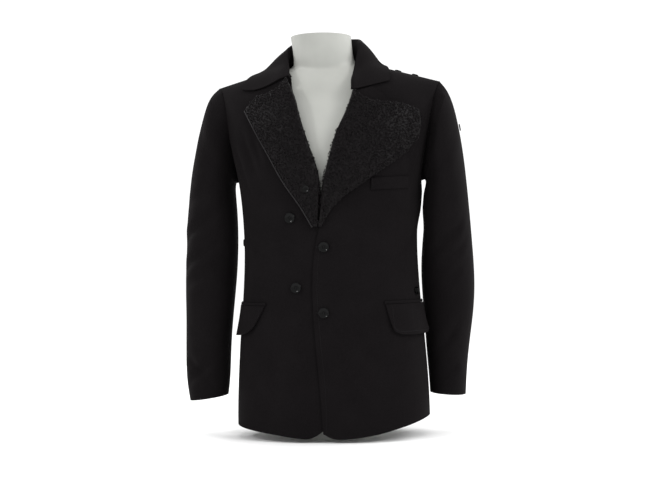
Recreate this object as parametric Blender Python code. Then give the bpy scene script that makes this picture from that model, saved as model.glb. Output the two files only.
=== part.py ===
"""A single-breasted wool blazer with curly pile lapel facings, worn by a limbless dress form.

Metres, +Z up. The front faces -Y and the wearer's left is +X. The origin is the centre of the form's
underside. Every cut piece is a thin closed wall. The body of the garment is one smooth surface, called
the skin here, and each piece that lies on it is made from its points, moved out or in.

On the skin a point has a turn, in degrees from the centre front (0) over the side (90) to the centre
back (180), negative on the wearer's right, and a level. Up to the armpit the level is the height, and
above it the level runs on evenly over the shoulder to the shoulder seam.
"""

import math
from collections import namedtuple

import bmesh
import bpy
import numpy as np
from mathutils import Vector

# Driving sizes of the cut
WALL = 0.0022
SEAM = 0.0003
ARMPIT_HEIGHT = 0.490
NECK_POINT = (0.080, 0.720)
SHOULDER_POINT = (0.218, 0.682)
SHOULDER_SEAM_Y = 0.006
BACK_NECK = (0.071, 0.735)
FRONT_NECK = (-0.085, 0.668)
SIDE_SEAM_TURN = 100.0
SHOULDER_END_TURN = 93.0
SHOULDER_ROUNDNESS = 2.4

HEM_FRONT = 0.0055
HEM_SIDE = 0.026
HEM_BACK = 0.030
HEM_LIFT_LEFT = 0.014
# How far a front's lower corner is rounded up, and over what width
LEFT_HEM_CORNER = (0.012, 0.022)
RIGHT_HEM_CORNER = (0.030, 0.052)
HEM_FADE = 0.10
CORNER_FADE = 0.03
SIDE_RADIUS = 0.17
CENTRE_BACK_RADIUS = 0.11
NECK_RADIUS = 0.0286
SHARP_ANGLE = 50.0

LAP_INSET = 0.0031
LAP_WIDTH = (0.034, 0.010)
LAP_END = (0.470, 0.500)
UNDERLAP_EDGE = 0.019
ROLL_INSET = 0.0060
LEAF_THICKNESS = 0.0015
PILE_THICKNESS = 0.0030
PILE_GAP = 0.0012
LEAF_GAP = 0.0006
LAPEL_SPRING = 0.0028
LAPEL_LIFT = 0.0040
PIPING_RADIUS = 0.0019
COLLAR_WALL = 0.0024
COLLAR_GAP = 0.0018
LEAF_START = 0.0066
LEAF_FOOT = 0.10
LAPEL_ROWS = 15
LAPEL_FIRST = 0.015
LAPEL_CROWDING = 0.88
LEAF_COLUMN_STEP = 0.04
LAPEL_COLUMNS = (0.14, 0.28, 0.43, 0.58, 0.72, 0.86, 1.0)

# The facing round the roll: how far beyond the panel's edge and how far out its two faces lie
FACING_BEYOND = (0.0058, 0.0060, 0.0040)
FACING_OUT = (0.0020, 0.0054)
FACING_WALL = 0.0024
FACING_UNDER_BEYOND = 0.0016
FACING_UNDER_OUT = (0.0014, 0.0030)
FACING_END = 0.0008
FACING_END_DROP = 0.0028
FACING_LEAST_TUCK = 0.55
FACING_TURN_SPAN = 0.06

TOP_LEVEL = 0.700
HEM_ROWS = 3
HEM_STEP = 0.012
BODY_START = 0.020
BODY_ROWS = 13
ARMHOLE_ROWS = 10
FRONT_COLUMNS = 14
BACK_COLUMNS = 10

# The skin's rings up to the armpit, over the half width and the depths before and behind the side line
Ring = namedtuple("Ring", "height half_width front back square")
BODY_RINGS = (
    Ring(-0.020, 0.1880, 0.1225, 0.1180, 2.45),
    Ring(0.080, 0.1865, 0.1225, 0.1180, 2.45),
    Ring(0.180, 0.1810, 0.1215, 0.1140, 2.45),
    Ring(0.270, 0.1735, 0.1200, 0.1030, 2.40),
    Ring(0.340, 0.1690, 0.1185, 0.0940, 2.40),
    Ring(0.390, 0.1685, 0.1185, 0.0930, 2.45),
    Ring(0.440, 0.1705, 0.1200, 0.1020, 2.55),
    Ring(0.490, 0.1755, 0.1220, 0.1130, 2.65),
)

# Visible edges of the two fronts, as the crosswise place at each height
EdgePoint = namedtuple("EdgePoint", "height across")
FRONT_EDGE = (
    EdgePoint(-0.020, -0.0040),
    EdgePoint(0.025, -0.0052),
    EdgePoint(0.100, -0.0094),
    EdgePoint(0.175, -0.0157),
    EdgePoint(0.247, -0.0200),
    EdgePoint(0.290, -0.0212),
    EdgePoint(0.333, -0.0185),
    EdgePoint(0.372, -0.0146),
)
LEFT_ROLL = (
    EdgePoint(0.400, -0.0075),
    EdgePoint(0.4795, 0.0012),
    EdgePoint(0.520, 0.0113),
    EdgePoint(0.550, 0.0190),
    EdgePoint(0.580, 0.0283),
    EdgePoint(0.610, 0.0425),
    EdgePoint(0.641, 0.0540),
    EdgePoint(0.657, 0.0575),
)
LEFT_NECK_EDGE = (
    EdgePoint(0.690, 0.0730),
    EdgePoint(0.705, 0.0800),
    EdgePoint(0.720, 0.0815),
)
RIGHT_ROLL = (
    EdgePoint(0.400, -0.0085),
    EdgePoint(0.4795, -0.0004),
    EdgePoint(0.521, -0.0093),
    EdgePoint(0.551, -0.0204),
    EdgePoint(0.581, -0.0301),
    EdgePoint(0.612, -0.0400),
    EdgePoint(0.644, -0.0480),
    EdgePoint(0.661, -0.0545),
    EdgePoint(0.683, -0.0680),
)
RIGHT_NECK_EDGE = (
    EdgePoint(0.700, -0.0800),
    EdgePoint(0.720, -0.0815),
)
UNDERLAP = (
    EdgePoint(-0.020, UNDERLAP_EDGE),
    EdgePoint(0.390, UNDERLAP_EDGE),
    EdgePoint(0.430, 0.0130),
)

# Turn of the armhole seam, as shares of the way from the armpit to the shoulder point
ArmholePoint = namedtuple("ArmholePoint", "share front_left front_right back")
ARMHOLE = (
    ArmholePoint(0.00, 100.0, 100.0, 100.0),
    ArmholePoint(0.12, 88.5, 84.0, 108.0),
    ArmholePoint(0.30, 79.5, 73.5, 114.0),
    ArmholePoint(0.55, 77.0, 70.5, 115.0),
    ArmholePoint(0.80, 79.5, 73.5, 111.0),
    ArmholePoint(1.00, 86.0, 84.0, 97.0),
)

SLEEVE_LEAVE = 2.4 * SEAM
SLEEVE_SQUARENESS = 0.92

# A sleeve's silhouette from the front: its outer and inner line, then how far back it hangs, and its depth
SleeveSection = namedtuple("SleeveSection", "outer outer_height inner inner_height back half_depth")
LEFT_SLEEVE = (
    SleeveSection(0.2325, 0.6640, 0.1840, 0.4900, 0.004, 0.0620),
    SleeveSection(0.2440, 0.6340, 0.1870, 0.4880, 0.004, 0.0660),
    SleeveSection(0.2520, 0.5960, 0.1885, 0.4840, 0.005, 0.0680),
    SleeveSection(0.2590, 0.5540, 0.1885, 0.4770, 0.007, 0.0690),
    SleeveSection(0.2635, 0.5100, 0.1870, 0.4650, 0.010, 0.0690),
    SleeveSection(0.2670, 0.4650, 0.1850, 0.4440, 0.014, 0.0675),
    SleeveSection(0.2705, 0.4200, 0.1815, 0.4120, 0.021, 0.0660),
    SleeveSection(0.2740, 0.3720, 0.1760, 0.3700, 0.031, 0.0645),
    SleeveSection(0.2765, 0.3250, 0.1715, 0.3250, 0.041, 0.0630),
    SleeveSection(0.2770, 0.2800, 0.1720, 0.2800, 0.049, 0.0605),
    SleeveSection(0.2735, 0.2350, 0.1745, 0.2350, 0.055, 0.0570),
    SleeveSection(0.2670, 0.1900, 0.1770, 0.1900, 0.056, 0.0550),
    SleeveSection(0.2615, 0.1450, 0.1805, 0.1450, 0.054, 0.0530),
    SleeveSection(0.2580, 0.1080, 0.1840, 0.1080, 0.051, 0.0510),
    SleeveSection(0.2560, 0.0745, 0.1855, 0.0800, 0.048, 0.0500),
)
RIGHT_SLEEVE = (
    SleeveSection(0.2330, 0.6680, 0.1840, 0.4900, 0.002, 0.0620),
    SleeveSection(0.2445, 0.6340, 0.1870, 0.4880, 0.001, 0.0660),
    SleeveSection(0.2545, 0.5950, 0.1885, 0.4840, 0.000, 0.0680),
    SleeveSection(0.2645, 0.5500, 0.1885, 0.4770, -0.001, 0.0690),
    SleeveSection(0.2730, 0.5060, 0.1875, 0.4650, -0.001, 0.0690),
    SleeveSection(0.2775, 0.4600, 0.1860, 0.4440, 0.000, 0.0675),
    SleeveSection(0.2835, 0.4180, 0.1850, 0.4120, 0.001, 0.0660),
    SleeveSection(0.2885, 0.3750, 0.1850, 0.3700, 0.002, 0.0650),
    SleeveSection(0.2905, 0.3300, 0.1870, 0.3250, 0.001, 0.0630),
    SleeveSection(0.2895, 0.2800, 0.1910, 0.2800, -0.001, 0.0600),
    SleeveSection(0.2885, 0.2350, 0.1960, 0.2350, -0.003, 0.0570),
    SleeveSection(0.2890, 0.1900, 0.2000, 0.1900, -0.006, 0.0550),
    SleeveSection(0.2895, 0.1450, 0.2015, 0.1450, -0.009, 0.0530),
    SleeveSection(0.2870, 0.1050, 0.2030, 0.1080, -0.012, 0.0515),
    SleeveSection(0.2805, 0.0715, 0.2065, 0.0810, -0.015, 0.0500),
)

# Creases in the sleeves: height, turn round the sleeve (0 outside, 90 front), slope, depth, half width, reach
Crease = namedtuple("Crease", "height around slope depth half_width reach")
RIGHT_CREASES = (
    Crease(0.395, 60.0, 0.00045, 0.0060, 0.0150, 70.0),
    Crease(0.345, 65.0, 0.00045, 0.0055, 0.0150, 60.0),
    Crease(0.135, 80.0, -0.00050, 0.0045, 0.0160, 60.0),
    Crease(0.455, 100.0, 0.00030, 0.0030, 0.0160, 50.0),
)
LEFT_CREASES = (
    Crease(0.350, 100.0, -0.00030, 0.0028, 0.0180, 60.0),
    Crease(0.160, 70.0, 0.00040, 0.0022, 0.0180, 60.0),
)

# Soft folds in the body: crosswise place, height, half length up and down, lean, depth and half width
BodyFold = namedtuple("BodyFold", "across height half_length lean depth half_width")
BODY_FOLDS = (
    BodyFold(-0.132, 0.540, 0.050, 0.05, 0.0030, 0.0110),
    BodyFold(0.060, 0.440, 0.040, 0.90, 0.0016, 0.0150),
    BodyFold(-0.105, 0.090, 0.110, 0.06, 0.0020, 0.0280),
    BodyFold(0.110, 0.090, 0.110, -0.06, 0.0020, 0.0280),
)

# Lapels, from the break up: outer edge, then the top edge from the roll to the corner
Place = namedtuple("Place", "across height")
LEFT_LAPEL_OUTER = (
    Place(-0.0020, 0.4010),
    Place(0.0247, 0.4436),
    Place(0.0716, 0.4799),
    Place(0.1359, 0.5260),
    Place(0.1700, 0.5640),
    Place(0.1775, 0.5960),
    Place(0.1755, 0.6185),
)
LEFT_LAPEL_TOP = (
    Place(0.0575, 0.6530),
    Place(0.0906, 0.6370),
    Place(0.1147, 0.6318),
    Place(0.1459, 0.6299),
    Place(0.1755, 0.6185),
)
LEFT_LEAF_TOP = (
    Place(0.0575, 0.6545),
    Place(0.0790, 0.6600),
    Place(0.0990, 0.6632),
    Place(0.1110, 0.6530),
    Place(0.1190, 0.6400),
    Place(0.1459, 0.6315),
    Place(0.1755, 0.6185),
)
RIGHT_LAPEL_OUTER = (
    Place(-0.0145, 0.4010),
    Place(-0.0393, 0.4469),
    Place(-0.0693, 0.4925),
    Place(-0.0961, 0.5422),
    Place(-0.1206, 0.5845),
    Place(-0.1430, 0.6254),
)
RIGHT_LAPEL_TOP = (
    Place(-0.0680, 0.6830),
    Place(-0.0820, 0.6660),
    Place(-0.0973, 0.6546),
    Place(-0.1230, 0.6480),
    Place(-0.1430, 0.6254),
)

# The collar from the wearer's right gorge round the back to the left one: its fold and its outer edge
CollarSection = namedtuple("CollarSection", "fold_x fold_y fold_z edge_x edge_y edge_z stand sag")
COLLAR = (
    CollarSection(-0.0690, -0.0640, 0.6865, -0.1600, -0.0560, 0.6700, 0.0040, 0.0190),
    CollarSection(-0.0745, -0.0350, 0.7150, -0.1500, -0.0330, 0.6900, 0.0130, 0.0040),
    CollarSection(-0.0785, 0.0050, 0.7560, -0.1290, 0.0060, 0.7060, 0.0300, 0.0),
    CollarSection(-0.0655, 0.0560, 0.7740, -0.1020, 0.0620, 0.7060, 0.0400, 0.0),
    CollarSection(-0.0080, 0.0800, 0.7800, -0.0050, 0.1000, 0.7100, 0.0420, 0.0),
    CollarSection(0.0500, 0.0560, 0.7780, 0.0880, 0.0620, 0.7100, 0.0420, 0.0),
    CollarSection(0.0630, 0.0050, 0.7630, 0.1080, 0.0060, 0.7140, 0.0370, 0.0),
    CollarSection(0.0600, -0.0420, 0.7120, 0.1200, -0.0350, 0.6920, 0.0120, 0.0),
    CollarSection(0.0575, -0.0900, 0.6570, 0.1240, -0.0620, 0.6740, 0.0010, 0.0010),
)
COLLAR_STATIONS = 29
COLLAR_AXIS = (-0.008, 0.010, 0.0)
COLLAR_FALL = (0.14, 0.30, 0.48, 0.66, 0.84, 1.0)
COLLAR_END = 0.12
COLLAR_END_LEAN = (0.55, 0.45)
COLLAR_BULGE = 0.0055
STAND_DROP = 0.0015
STAND_LEAN = 0.0040

# The collar's fold, from the stand's foot: how far down and how far in or out each row lies
CollarFold = namedtuple("CollarFold", "stand_share down out")
COLLAR_FOLDS = (
    CollarFold(1.0, STAND_DROP, -0.0012),
    CollarFold(0.5, STAND_DROP, -0.0034),
    CollarFold(0.0, 0.0030, -0.0036),
    CollarFold(0.0, 0.0, -0.0012),
    CollarFold(0.0, 0.0006, 0.0022),
)

# The welt pocket and the two flaps, by their corners on the body
Corner = namedtuple("Corner", "across height")
WELT_CORNERS = (Corner(0.0921, 0.4925), Corner(0.1600, 0.4968), Corner(0.1592, 0.4745), Corner(0.0912, 0.4703))
Flap = namedtuple("Flap", "side top_front top_back bottom_front bottom_back top_height front_drop back_drop")
FLAPS = (
    Flap("left", 48.5, 92.0, 53.5, 90.5, 0.2570, 0.0590, 0.0580),
    Flap("right", 49.0, 99.0, 59.5, 98.0, 0.2560, 0.0550, 0.0620),
)
FLAP_THICKNESS = 0.0030
FLAP_LIFT = 0.0065
FLAP_STANDOFF = 0.0005
FLAP_ROUNDING = 0.0075
FLAP_ROWS = 5
FLAP_COLUMNS = 10
JET_HEIGHT = 0.0055
JET_STANDOFF = 0.0008
JET_OVERHANG = 0.6
JET_COLUMNS = 12
JET_PROFILE = ((0.0, 0.0016), (0.5, 0.0022), (1.0, 0.0012))
WELT_LOW = 0.0004
WELT_HIGH = 0.0024
WELT_BOW = 0.0006

# Buttons: the piece that each lies on, its place and its size
Button = namedtuple("Button", "name across height diameter")
FRONT_BUTTONS = (
    Button("button_close_upper", 0.0020, 0.3659, 0.0200),
    Button("button_close_lower", 0.0005, 0.2432, 0.0200),
    Button("button_show_upper", -0.0608, 0.4213, 0.0200),
    Button("button_show_lower", -0.0516, 0.2903, 0.0200),
    Button("button_lapel", -0.0274, 0.4746, 0.0135),
)
TurnedButton = namedtuple("TurnedButton", "name turn level diameter")
SIDE_BUTTONS = (
    TurnedButton("button_pocket", 77.0, 0.2799, 0.0150),
    TurnedButton("button_waist", -88.0, 0.3770, 0.0140),
)
SeamButton = namedtuple("SeamButton", "name across behind diameter")
SHOULDER_BUTTONS = (
    SeamButton("button_shoulder_inner", 0.1395, 0.010, 0.0130),
    SeamButton("button_shoulder_outer", 0.1750, 0.010, 0.0130),
)
SLEEVE_BUTTON_HEIGHT = 0.592
SLEEVE_BUTTON_DIAMETER = 0.0135
BUTTON_STANDOFF = 0.0004
BUTTON_SIDES = 14
LARGE_BUTTON = 0.017
LARGE_BUTTON_THICKNESS = 0.0034
SMALL_BUTTON_THICKNESS = 0.0028

# A button's turned profile, as shares of its radius and of its thickness
BUTTON_PROFILE = ((0.86, 0.0), (1.0, 0.45), (0.90, 1.0), (0.66, 0.62), (0.30, 0.50))

# The dress form's level rings
FormRing = namedtuple("FormRing", "height half_width front back square across")
FORM_RINGS = (
    FormRing(0.0000, 0.0920, 0.0740, 0.0740, 2.0, 0.0),
    FormRing(0.0300, 0.0905, 0.0730, 0.0730, 2.0, 0.0),
    FormRing(0.0520, 0.0950, 0.0760, 0.0750, 2.0, 0.0),
    FormRing(0.0640, 0.1150, 0.0860, 0.0830, 2.1, 0.0),
    FormRing(0.0740, 0.1450, 0.0980, 0.0950, 2.2, 0.0),
    FormRing(0.0900, 0.1640, 0.1060, 0.1030, 2.3, 0.0),
    FormRing(0.1300, 0.1690, 0.1090, 0.1060, 2.35, 0.0),
    FormRing(0.1900, 0.1660, 0.1080, 0.1030, 2.35, 0.0),
    FormRing(0.2700, 0.1570, 0.1050, 0.0910, 2.3, 0.0),
    FormRing(0.3400, 0.1500, 0.1010, 0.0810, 2.3, 0.0),
    FormRing(0.3900, 0.1490, 0.1010, 0.0790, 2.3, 0.0),
    FormRing(0.4400, 0.1540, 0.1040, 0.0870, 2.4, 0.0),
    FormRing(0.4900, 0.1610, 0.1080, 0.0980, 2.45, 0.0),
    FormRing(0.5400, 0.1690, 0.1080, 0.1020, 2.45, 0.0),
    FormRing(0.5850, 0.1750, 0.0980, 0.0990, 2.4, 0.0),
    FormRing(0.6250, 0.1800, 0.0830, 0.0900, 2.3, 0.0),
    FormRing(0.6550, 0.1840, 0.0640, 0.0790, 2.2, 0.0),
    FormRing(0.6750, 0.1820, 0.0530, 0.0720, 2.1, 0.0),
    FormRing(0.6880, 0.1790, 0.0460, 0.0680, 2.0, 0.0),
    FormRing(0.6960, 0.1564, 0.0420, 0.0650, 1.9, 0.0),
    FormRing(0.7030, 0.1310, 0.0390, 0.0620, 1.8, 0.0),
    FormRing(0.7090, 0.0950, 0.0370, 0.0590, 1.8, 0.0),
    FormRing(0.7150, 0.0680, 0.0390, 0.0580, 1.9, -0.0040),
    FormRing(0.7240, 0.0595, 0.0430, 0.0570, 2.0, -0.0070),
    FormRing(0.7450, 0.0580, 0.0510, 0.0570, 2.0, -0.0095),
    FormRing(0.7750, 0.0592, 0.0610, 0.0550, 2.0, -0.0125),
)
FORM_SIDES = 32

WOOL_BLACK = ("wool_melton", (0.0105, 0.0095, 0.0100, 1.0), 0.92)
PILE_BLACK = ("curly_pile", (0.0070, 0.0066, 0.0070, 1.0), 0.95)
LEATHER_BLACK = ("piping_leather", (0.030, 0.029, 0.030, 1.0), 0.38)
BUTTON_BLACK = ("button_resin", (0.0080, 0.0080, 0.0085, 1.0), 0.18)
FORM_PALE = ("form_shell", (0.66, 0.66, 0.64, 1.0), 0.55)


def clear_scene():
    """Remove everything the startup file holds."""
    for obj in list(bpy.data.objects):
        bpy.data.objects.remove(obj, do_unlink=True)


def material(finish):
    """A Principled material of that name, colour and roughness, made once."""
    name, colour, roughness = finish
    found = bpy.data.materials.get(name)
    if found:
        return found
    made = bpy.data.materials.new(name)
    made.use_nodes = True
    shader = made.node_tree.nodes["Principled BSDF"]
    shader.inputs["Base Color"].default_value = colour
    shader.inputs["Roughness"].default_value = roughness
    shader.inputs["Metallic"].default_value = 0.0
    return made


def smooth(places, values, at):
    """Value at one place on a smooth curve through a table's rows, held at its ends."""
    if at <= places[0]:
        return values[0]
    if at >= places[-1]:
        return values[-1]
    i = max(k for k in range(len(places) - 1) if places[k] <= at)
    last = len(places) - 1
    step = places[i + 1] - places[i]
    share = (at - places[i]) / step
    before, after = max(i - 1, 0), min(i + 2, last)
    slope_in = (values[i + 1] - values[before]) / (places[i + 1] - places[before]) * step
    slope_out = (values[after] - values[i]) / (places[after] - places[i]) * step
    square, cube = share * share, share * share * share
    return (
        values[i] * (2 * cube - 3 * square + 1)
        + slope_in * (cube - 2 * square + share)
        + values[i + 1] * (3 * square - 2 * cube)
        + slope_out * (cube - square)
    )


def column(table, key, name, at):
    """One named column of a table, read smoothly where its key column is at."""
    return smooth([getattr(row, key) for row in table], [getattr(row, name) for row in table], at)


def along(table, share):
    """Place at that share of the way along a table of places, by its own length."""
    points = [np.array(row[:2]) for row in table]
    lengths = [0.0]
    for a, b in zip(points, points[1:]):
        lengths.append(lengths[-1] + float(np.linalg.norm(b - a)))
    at = share * lengths[-1]
    return np.array([smooth(lengths, [p[k] for p in points], at) for k in (0, 1)])


def ease(value, low, high):
    """0 below low, 1 above high, and a smooth step between."""
    share = min(max((value - low) / (high - low), 0.0), 1.0)
    return share * share * (3 - 2 * share)


def ring_point(half_width, depth, square, turn):
    """Point of a rounded-square ring in the direction of turn."""
    sine, cosine = math.sin(math.radians(turn)), math.cos(math.radians(turn))
    reach = ((abs(sine) / half_width) ** square + (abs(cosine) / depth) ** square) ** (-1 / square)
    return reach * sine, -reach * cosine


def ridge_height(across, front):
    """Height of the shoulder seam, or of the neckline inside the neck points."""
    if across >= NECK_POINT[0]:
        fall = (NECK_POINT[1] - SHOULDER_POINT[1]) / (SHOULDER_POINT[0] - NECK_POINT[0])
        return NECK_POINT[1] - (across - NECK_POINT[0]) * fall
    inward = math.sqrt(1 - (across / NECK_POINT[0]) ** 2)
    centre = FRONT_NECK[1] if front else BACK_NECK[1]
    return NECK_POINT[1] + (centre - NECK_POINT[1]) * inward


def ridge_depth(across, front):
    """How far back the shoulder seam or the neckline lies."""
    seam = SHOULDER_SEAM_Y + (-2 * SEAM if front else 2 * SEAM)
    if across >= NECK_POINT[0]:
        return seam
    inward = math.sqrt(1 - (across / NECK_POINT[0]) ** 2)
    centre = FRONT_NECK[0] if front else BACK_NECK[0]
    return seam + (centre - seam) * inward


def climb(level):
    """Shares of the rise and of the remaining depth, above the armpit."""
    angle = (level - ARMPIT_HEIGHT) / (TOP_LEVEL - ARMPIT_HEIGHT) * math.pi / 2
    angle = min(max(angle, 0.0), math.pi / 2)
    power = 2 / SHOULDER_ROUNDNESS
    return math.sin(angle) ** power, max(math.cos(angle), 0.0) ** power


def skin(turn, level):
    """Point of the body's outer surface."""
    height = min(level, ARMPIT_HEIGHT)
    front = abs(turn) < 90
    half_width = column(BODY_RINGS, "height", "half_width", height)
    depth = column(BODY_RINGS, "height", "front" if front else "back", height)
    x, y = ring_point(half_width, depth, column(BODY_RINGS, "height", "square", height), turn)
    if level <= ARMPIT_HEIGHT:
        return np.array((x, y, level))
    share = abs(x) / half_width
    rise, rest = climb(level)
    top = SHOULDER_POINT[0] * share
    front = abs(turn) < SHOULDER_END_TURN if share > 0.97 else front
    x = math.copysign(abs(x) + (top - abs(x)) * rise, x)
    y = ridge_depth(top, front) + (y - ridge_depth(top, front)) * rest
    return np.array((x, y, height + (ridge_height(top, front) - height) * rise))


def skin_normal(turn, level):
    """Outward direction of the body's surface there."""
    step = 0.4
    lift = 0.0008
    high = min(level + lift, TOP_LEVEL)
    around = skin(turn + step, level) - skin(turn - step, level)
    up = skin(turn, high) - skin(turn, high - 2 * lift)
    normal = np.cross(around, up)
    return normal / np.linalg.norm(normal)


def on_front(across, height):
    """Turn and level of the front's point with that crosswise place and height."""
    base = min(height, ARMPIT_HEIGHT)
    half_width = column(BODY_RINGS, "height", "half_width", base)
    depth = column(BODY_RINGS, "height", "front", base)
    square = column(BODY_RINGS, "height", "square", base)
    share, rise = min(abs(across) / half_width, 0.999), 0.0
    if height > ARMPIT_HEIGHT:
        for _ in range(25):
            top = ridge_height(SHOULDER_POINT[0] * share, True)
            rise = min((height - ARMPIT_HEIGHT) / (top - ARMPIT_HEIGHT), 1.0)
            wide = half_width + (SHOULDER_POINT[0] - half_width) * rise
            share = 0.5 * share + 0.5 * min(abs(across) / wide, 0.999)
    x = share * half_width
    y = depth * (1 - share**square) ** (1 / square)
    level = height
    if height > ARMPIT_HEIGHT:
        angle = math.asin(rise ** (SHOULDER_ROUNDNESS / 2))
        level = ARMPIT_HEIGHT + angle / (math.pi / 2) * (TOP_LEVEL - ARMPIT_HEIGHT)
    return math.copysign(math.degrees(math.atan2(x, y)), across), level


def fold_depth(point):
    """How far in the soft folds of the body push a front point."""
    depth = 0.0
    for fold in BODY_FOLDS:
        up = (point[2] - fold.height) / fold.half_length
        centre = fold.across + fold.lean * (point[2] - fold.height)
        off = (point[0] - centre) / fold.half_width
        depth += fold.depth * math.exp(-off * off - up * up)
    return depth if point[1] < 0 else 0.0


def raised(turn, level, above):
    """Point at that distance over the body's surface, folds included."""
    point = skin(turn, level)
    return point + skin_normal(turn, level) * (above - fold_depth(point))


def front_at(across, height, above):
    """Point over the front, by its crosswise place and height."""
    turn, level = on_front(across, height)
    return raised(turn, level, above)


def make_object(name, points, faces, finish):
    """Make a named mesh object with its faces turned outwards."""
    mesh = bpy.data.meshes.new(name)
    mesh.from_pydata([tuple(map(float, p)) for p in points], [], faces)
    body = bmesh.new()
    body.from_mesh(mesh)
    bmesh.ops.recalc_face_normals(body, faces=body.faces[:])
    if body.calc_volume(signed=True) < 0:
        bmesh.ops.reverse_faces(body, faces=body.faces[:])
    body.to_mesh(mesh)
    body.free()
    mesh.materials.append(material(finish))
    mesh.shade_smooth()
    mesh.set_sharp_from_angle(angle=math.radians(SHARP_ANGLE))
    bpy.context.scene.collection.objects.link(bpy.data.objects.new(name, mesh))


def grid_faces(rows, columns, start, wrap, turned):
    """Quads of a grid of points; wrap closes each row into a ring."""
    faces = []
    for j in range(rows - 1):
        for i in range(columns if wrap else columns - 1):
            k = (i + 1) % columns
            a, b = start + j * columns + i, start + j * columns + k
            quad = (a, b, b + columns, a + columns)
            faces.append(quad[::-1] if turned else quad)
    return faces


def wall(name, outer, inner, finish, wrap=False):
    """A closed wall between two grids of points."""
    outer, inner = np.asarray(outer), np.asarray(inner)
    rows, columns = outer.shape[:2]
    count = rows * columns
    faces = grid_faces(rows, columns, 0, wrap, False)
    faces += grid_faces(rows, columns, count, wrap, True)
    rim = []
    if wrap:
        rim.append([i for i in range(columns)] + [0])
        rim.append([(rows - 1) * columns + i for i in range(columns)] + [(rows - 1) * columns])
    else:
        bottom = list(range(columns))
        right = [j * columns + columns - 1 for j in range(1, rows)]
        top = [(rows - 1) * columns + i for i in range(columns - 2, -1, -1)]
        left = [j * columns for j in range(rows - 2, -1, -1)]
        rim.append(bottom + right + top + left)
    for loop in rim:
        faces += [(b, a, a + count, b + count) for a, b in zip(loop, loop[1:])]
    points = np.concatenate([outer.reshape(-1, 3), inner.reshape(-1, 3)])
    make_object(name, points, faces, finish)


def body_levels():
    """Levels of the body's rows, from the hem to the shoulder."""
    low = [HEM_STEP * j for j in range(HEM_ROWS)]
    start = low[-1] + BODY_START
    rows = [start + (ARMPIT_HEIGHT - start) * j / (BODY_ROWS - 1) for j in range(BODY_ROWS)]
    high = [ARMPIT_HEIGHT + (TOP_LEVEL - ARMPIT_HEIGHT) * j / ARMHOLE_ROWS for j in range(1, ARMHOLE_ROWS + 1)]
    return low + rows + high


def hem_height(turn):
    """Height of the hem round the body."""
    side = math.sin(math.radians(turn)) ** 2
    end = HEM_FRONT if abs(turn) < 90 else HEM_BACK
    lift = HEM_LIFT_LEFT * ease(turn, 35.0, 85.0) * (1 - ease(turn, 100.0, 170.0))
    return end + (HEM_SIDE - end) * side + lift


def armhole_turn(level, name):
    """Turn of the armhole or side seam at that level."""
    if level <= ARMPIT_HEIGHT:
        return SIDE_SEAM_TURN
    share = (level - ARMPIT_HEIGHT) / (TOP_LEVEL - ARMPIT_HEIGHT)
    return column(ARMHOLE, "share", name, share)


def front_edge_turn(level, edge):
    """Turn of a front's edge at that level, from its table of heights."""
    turn = on_front(column(edge, "height", "across", level), level)[0]
    for _ in range(12):
        height = skin(turn, level)[2]
        turn = on_front(column(edge, "height", "across", height), height)[0]
    return turn


def lap(point, height):
    """How far in the wearer's right front lies where the left one covers it."""
    edge = column(LEFT_EDGE_VISIBLE, "height", "across", height)
    return LAP_INSET * ease(point[0], edge - LAP_WIDTH[0], edge - LAP_WIDTH[1]) * (1 - ease(height, *LAP_END))


LEFT_EDGE_VISIBLE = FRONT_EDGE + LEFT_ROLL[:2] + (EdgePoint(0.50, 0.05),)
LEFT_PANEL_EDGE = (
    FRONT_EDGE
    + (EdgePoint(0.400, -0.0040),)
    + tuple(EdgePoint(p.height, p.across + ROLL_INSET) for p in LEFT_ROLL[1:])
    + LEFT_NECK_EDGE
)
RIGHT_PANEL_EDGE = (
    UNDERLAP
    + tuple(EdgePoint(p.height, p.across - ROLL_INSET) for p in RIGHT_ROLL[1:])
    + RIGHT_NECK_EDGE
)


def front_panel(name, side):
    """One front, from its edge or roll to the side seam and armhole, and up to the shoulder seam."""
    sign = 1 if side == "left" else -1
    edge_table = LEFT_PANEL_EDGE if side == "left" else RIGHT_PANEL_EDGE
    rise, width = LEFT_HEM_CORNER if side == "left" else RIGHT_HEM_CORNER
    outer, inner = [], []
    for level in body_levels():
        edge = front_edge_turn(level, edge_table)
        seam = sign * (armhole_turn(level, "front_" + side) - math.degrees(SEAM / 2 / SIDE_RADIUS))
        outer_row, inner_row = [], []
        for i in range(FRONT_COLUMNS + 1):
            share = i / FRONT_COLUMNS
            turn = edge + (seam - edge) * share
            fade = 1 - ease(level, 0.0, HEM_FADE)
            at = level + hem_height(turn) * fade
            corner = 1 - ease(abs(skin(turn, at)[0] - skin(edge, at)[0]), 0.0, width)
            at += rise * corner * (1 - ease(level, 0.0, CORNER_FADE))
            in_by = lap(skin(turn, at), min(at, ARMPIT_HEIGHT)) if side == "right" else 0.0
            outer_row.append(raised(turn, at, -in_by))
            inner_row.append(raised(turn, at, -in_by - WALL))
        outer.append(outer_row)
        inner.append(inner_row)
    wall(name, outer, inner, WOOL_BLACK)
    return np.array(outer), np.array(inner)


def neck_turn(level):
    """Turn on the back where a row starts: the centre seam."""
    radius = CENTRE_BACK_RADIUS if level < TOP_LEVEL else NECK_RADIUS
    return 180.0 - math.degrees(SEAM / 2 / radius)


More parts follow.
